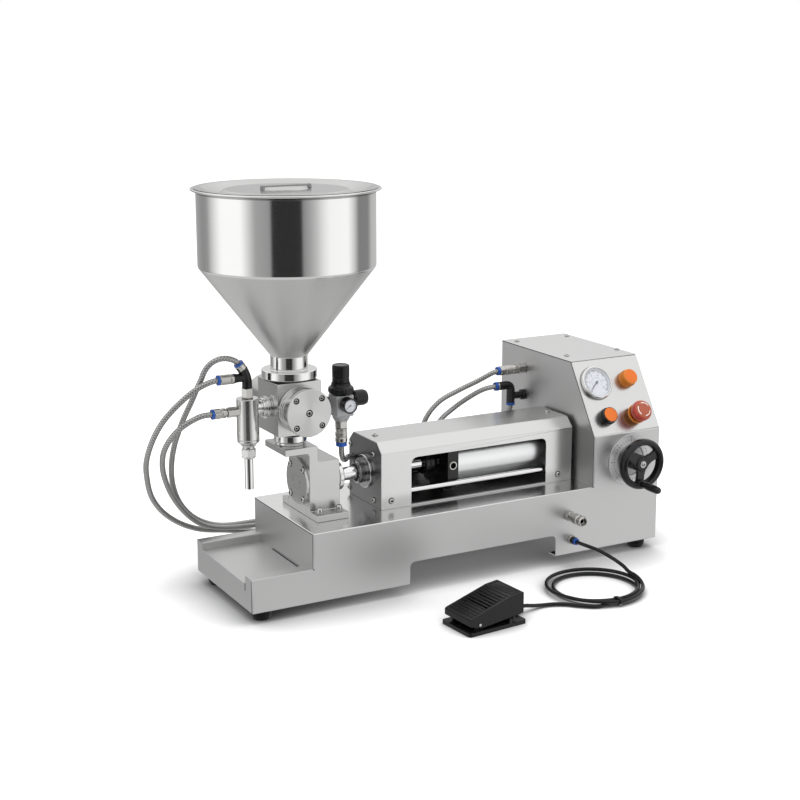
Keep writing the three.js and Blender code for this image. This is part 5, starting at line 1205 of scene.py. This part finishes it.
# The inlet's bore is near-black: painted shade inside it.
turned(
    "inlet_body", [(6.5, -13), (6.5, 0), (7, 11), (7, 43.2), (6.3, 44), (4.9, 44), (4.5, 43.2), (4.5, 24)],
    INLET, "front", ["nickel", "dark"], "inlet_socket", steps=64,
    pick=lambda r, h: 1 if r < 4.6 and h > 20 else 0)
turned(
    "inlet_sleeve_turned", [(7.3, 18), (8.6, 18), (9, 18.5), (9, 22), (10, 23), (10, 35.9), (8.6, 37.8),
    (8.6, 40.1), (10, 42), (10, 48), (8.6, 50), (7.3, 50)], INLET, "front", "nickel", "inlet_sleeve",
    steps=160, closed=True, flutes=(40, 0.5, 23.5, 35.5), edge=0.3)
PORT = (657, 0, 49)
nut("pedal_port_nut", 9, 0.3, 6.4, PORT, "front", "pedal_port")
turned(
    "pedal_port_body", [(5, -14), (5, 0), (7.5, 6), (7.5, 14), (6.6, 15)], PORT, "front", "black",
    "pedal_port", steps=48)
ring("pedal_port_ring", PEDAL_HOSE + 0.05, 6.4, 15, 19.6, PORT, "front", "blue", steps=48)
SIDE = (706, 244, 331)
nut("side_straight_nut", 11, 0.3, 18, SIDE, "-x", "side_fitting_straight")
turned(
    "side_straight_body", [(6.5, -14), (6.5, 0), (8.4, 17), (9.5, 18.4), (9.5, 30), (8.6, 31), (8.6, 33),
    (9.5, 34), (9.5, 46), (8.8, 47), (8.8, 48.4), (9.5, 49.4), (9.5, 58.6), (8.6, 60)], SIDE, "-x", "nickel",
    "side_fitting_straight", steps=144, flutes=(36, 0.35, 34.5, 45.5))
ring("side_straight_ring", HOSE_HOLE, 8.8, 60, 65.5, SIDE, "-x", "blue", edge=0.9)
turned(
    "side_tee_stub", [(6.5, -12), (6.5, 0.2), (10.2, 0.3), (10.5, 1), (10.5, 7.4), (9.8, 8), (7.6, 8.6),
    (7.2, 12), (7.4, 32)], (706, 244, 277), "-x", "satin", "side_fitting_tee")
corner = [
    (674, 244, 264), (674, 244, 272), (674, 244, 280), (674, 244, 288), (673.4, 244, 293), (671, 244, 297.4),
    (666.6, 244, 299.6), (661, 244, 300), (652, 244, 300), SIDE_TEE]
bend = even(catmull(corner, 8), 1.5)
pipe("side_tee_bend", bend, 8.5, "satin", "side_fitting_tee", sides=48)
ring("side_tee_ring_low", HOSE_HOLE, 8.8, 0, 5.4, (674, 244, 264.2), "-z", "blue", edge=0.9)
ring("side_tee_band_left", 7.0, 9.1, -2.2, 0.6, SIDE_TEE, "-x", "nickel", edge=0.3)
ring("side_tee_ring_left", HOSE_HOLE, 8.8, 0.6, 5.8, SIDE_TEE, "-x", "blue", edge=0.9)
FEET = {"front_left": (28, 28), "front_right": (832, 28), "back_left": (28, 226), "back_right": (832, 300)}
for name, (x, y) in FEET.items():
    turned(
        f"foot_{name}_turned", [(14.8, 0), (15.6, 1), (17.2, 6.6), (17.5, 8), (17.5, 18.6), (16.8, 19.7),
        (4, 19.7), (4, 22.3), (9, 22.3), (9, 27.3)], (x, y, 0), "z", "foot", f"foot_{name}", steps=64)

# The tie round the coil: one band round the turns where they cross the line from the coil's middle

tie = []
for t in (0.119, 0.548, 0.977):
    reach, rise = coil_at(t)
    tie += [(reach + x, rise + y) for x, y in circle(4.0, 16)]


def hull(points):
    """The outline round a set of points."""
    points = sorted(points)
    half = []
    for order in (points, points[::-1]):
        line = []
        for p in order:
            while len(line) > 1 and ((line[-1][0] - line[-2][0]) * (p[1] - line[-2][1])
                                     - (line[-1][1] - line[-2][1]) * (p[0] - line[-2][0])) <= 0:
                line.pop()
            line.append(p)
        half += line[:-1]
    return half


def band(name, outline, width, thick, angle, material):
    """A closed strap round the coil's turns, at an angle about the coil's middle."""
    along = Vector((-math.sin(angle), math.cos(angle), 0))
    middle = sum((Vector(p) for p in outline), Vector((0, 0))) / len(outline)
    verts, faces = [], []
    n = len(outline)
    for side, grow in ((-1, 0), (1, 0), (1, 1), (-1, 1)):
        for p in outline:
            out = (Vector(p) - middle).normalized() * thick * grow + Vector(p)
            verts.append(Vector((*around_coil(out.x, angle), max(0.15, out.y))) + along * side * width / 2)
    for low, high in ((0, 1), (1, 2), (2, 3), (3, 0)):
        faces += wall(low * n, high * n, n)
    return build(name, verts, faces, material)


band("coil_tie", hull(tie), 6.0, 2.2, math.radians(-95), "black")

# Small parts of the pedal: the ends of its pin, the ring where the hose goes in, and the treadle's rim

PEDAL_MIDDLE, PEDAL_TURN = ((352, -179), 0.087)


def on_pedal(x, y, z):
    """A point of the pedal, from its middle."""
    cos, sin = math.cos(PEDAL_TURN), math.sin(PEDAL_TURN)
    return PEDAL_MIDDLE[0] + x * cos - y * sin, PEDAL_MIDDLE[1] + x * sin + y * cos, z


def pedal_disc(name, inner, outer, start, end):
    """A flat ring of the pedal between two of its points."""
    axis = Vector(on_pedal(*end)) - Vector(on_pedal(*start))
    profile = [(inner, 0), (outer, 0), (outer, axis.length), (inner, axis.length)]
    turned(name, profile, on_pedal(*start), tuple(axis.normalized()), "nickel", closed=inner > 0, steps=32,
           edge=0.2)


for end, side in (("front", -1), ("back", 1)):
    pedal_disc(f"pedal_pin_{end}", 0, 2.5, (-36.5, side * 37.8, 17), (-36.5, side * 38.6, 17))
pedal_disc("pedal_gland_ring", 6.4, 7.6, (58.5, 0, 13), (61, 0, 13))
rim = [(33.5, -30), (52.5, -30), (52.5, 30), (33.5, 30), (33.5, -30)]
line = [Vector(on_pedal(x, y, 54 + (x - 29.5) / 9 + 0.1)) for x, y in rim]
pipe("treadle_rim", line, 0.7, "satin", body="treadle", sides=8)

# Seams of the folded sheet, and painted shade in its slots and relief holes

def seam(name, points, radius=0.6, material="dark"):
    """A fine dark joint along the edge of a sheet."""
    pipe(name, [Vector(p) for p in points], radius, material, sides=8)


def block(name, low, high):
    """A small near-black block inside a slot or a relief hole: painted shade."""
    prism(name, box_outline(*low[:2], *high[:2]), low[2], high[2], ORIGIN, "z", "dark", bevel=0)


seam("cabinet_side_seam", [(705.9, 2.2, 146.4), (705.9, 2.2, 242.4), (705.9, 84.4, 371.8)])
seam("cabinet_top_seam", [(705.9, 84, 372.2), (705.9, 327, 372.2)], 0.7)
seam("cabinet_front_seam", [on_panel(1, 154.0, 0.1), on_panel(153, 154.0, 0.1)], 0.35, "gland")
seam("step_seam", [(115.8, 2.0, 82.5), (115.8, 2.0, 143.2), (115.8, 252, 143.2)])
seam("tray_seam", [(-0.2, 2.0, 22), (-0.2, 2.0, 79)])
block("tray_notch_shade", (-0.12, 28.9, 54.0), (1.4, 32.1, 66.9))
block("tray_slit_shade", (113.6, 29.5, 66.4), (115.9, 174.5, 67.15))
block("step_relief_painted_shade", (115.2, -0.25, 79.8), (117.4, 0.6, 81.8))
block("cabinet_relief_painted_shade", (704.8, -0.25, 143.8), (707.0, 0.6, 146.0))

# Screws of the cabinet and the housing

for k, (x, y) in enumerate(((724, 300), (847, 299), (729, 131), (852, 134))):
    screw(f"cabinet_screw_{k}", (x, y, 374), "z", 4.4, 2.6, spin=0.3 * k)
for k, (x, z) in enumerate(((303, 160.5), (667, 160.6))):
    screw(f"housing_screw_front_{k}", (x, 63, z), "front", 4.8, 3.0, spin=0.2 + 0.4 * k)
    screw(f"housing_screw_back_{k}", (x, 191, z), "y", 4.8, 3.0, spin=0.5 * k)
for k, (x, y) in enumerate(((303.7, 127), (683, 127))):
    screw(f"housing_screw_top_{k}", (x, y, 268), "z", 4.8, 3.0, spin=0.35 * k)
for k, (y, z) in enumerate(((184.7, 243), (93, 243), (92, 157), (190, 157))):
    screw(f"end_plate_screw_{k}", (283, y, z), "-x", 4.8, 3.2, spin=0.3 * k)

# Pieces kept from the model, with broken edges

KEPT = {
    "cabinet_top": ("deck", 0.5), "cabinet_back": ("brushed", 0.5), "piston_block": ("machined", 0.7),
    "valve_body": ("machined", 0.9), "valve_rotor": ("polished", 0.3), "nozzle_needle": ("polished", 0.0),
    "cylinder_front_cap": ("satin", 0.8), "material_piston": ("seal", 0.3), "pedal_base": ("painted", 0.8),
    "pedal_treadle": ("painted", 1.0), "gauge_needle": ("ink", 0.0), "regulator_gauge_needle": ("ink", 0.0)}
COLLAR, STOP_COLLAR = 18, 20.5      # radii, that of the stop button before it is closed in
TRIM = ["base", "black", "amber", "brushed", "deck", "inside_painted_shade"]


def panel_trim(polygon):
    """The button collars are plastic, the panel and the deck are brushed, the other walls take the darker
    base steel as painted shade, and the inner faces, the underside and the hem are near-black painted shade.
    """
    n = polygon.normal
    if n.z > FACING and polygon.center.z > 0.14:
        return "deck"
    x, y, z = polygon.center * 1000 + HOME
    along, up, out = from_panel(x, y, z)
    if out > 0.15:
        collars = zip(BUTTONS.values(), (COLLAR, COLLAR, STOP_COLLAR), ("black", "amber", "brushed"))
        for (cx, cy), reach, material in collars:
            if math.hypot(along - cx, up - cy) < reach:
                return material
    underside = n.z < -FACING and z > 50
    back = n.y < -FACING and y > 245
    ends = n.x > FACING and 120 < x < 859 or n.x < -FACING and x > 720
    hem = z < 23.5 and (n.z > 0.5 or n.x < -FACING and x > 600)
    if underside or back or ends or hem or n.y > FACING and y < 10:
        return "inside_painted_shade"
    # The remaining walls take the darker base steel: painted shade.
    return "brushed" if 0.4 < n.z < 0.6 and n.y < -0.7 else "base"


def reshaped(x, y, z):
    """Closes in the stop button's collar and keeps a flat seam clear of the fold at the cabinet's foot."""
    if abs(x - 708) < 0.3 and abs(y) < 0.1 and abs(z - 145) < 0.3:
        return 718, y, 134
    along, up, out = from_panel(x, y, z)
    cx, cy = BUTTONS["stop"]
    if out > 0.15 and math.hypot(along - cx, up - cy) < STOP_COLLAR:
        return (c + (p - c) * 0.68 for p, c in zip((x, y, z), on_panel(cx, cy, out)))
    return x, y, z


def lower_window(x, y, z):
    """Brings the lower edge of the housing's window down."""
    return x, y, 147.4 if 300 < x < 680 and y < 80 and 149 < z < 153 else z


dressed("base_frame", TRIM, 1.8, 3, pick=lambda p: TRIM.index(panel_trim(p)), folds=True, shape=reshaped)
dressed("housing_cover", ["brushed"], 1.5, 3, folds=True, shape=lower_window)
dressed(
    "housing_frame", ["inside", "plate"], 0.4,
    pick=lambda polygon: 1 if polygon.normal.x < -0.9 and polygon.center.x < -0.1315 else 0)
for node, (material, bevel) in KEPT.items():
    # Flat tops of the machined pieces take the darker copy: painted shade.
    if material == "machined":
        dressed(node, ["machined", "machined_top_painted_shade"], bevel, pick=lambda p: 1 if p.normal.z > FACING else 0)
    else:
        dressed(node, [material], bevel)

for node, obj in NODES.items():
    if not obj.hide_render:
        obj.data.materials.clear()
        obj.data.materials.append(M["machined"])
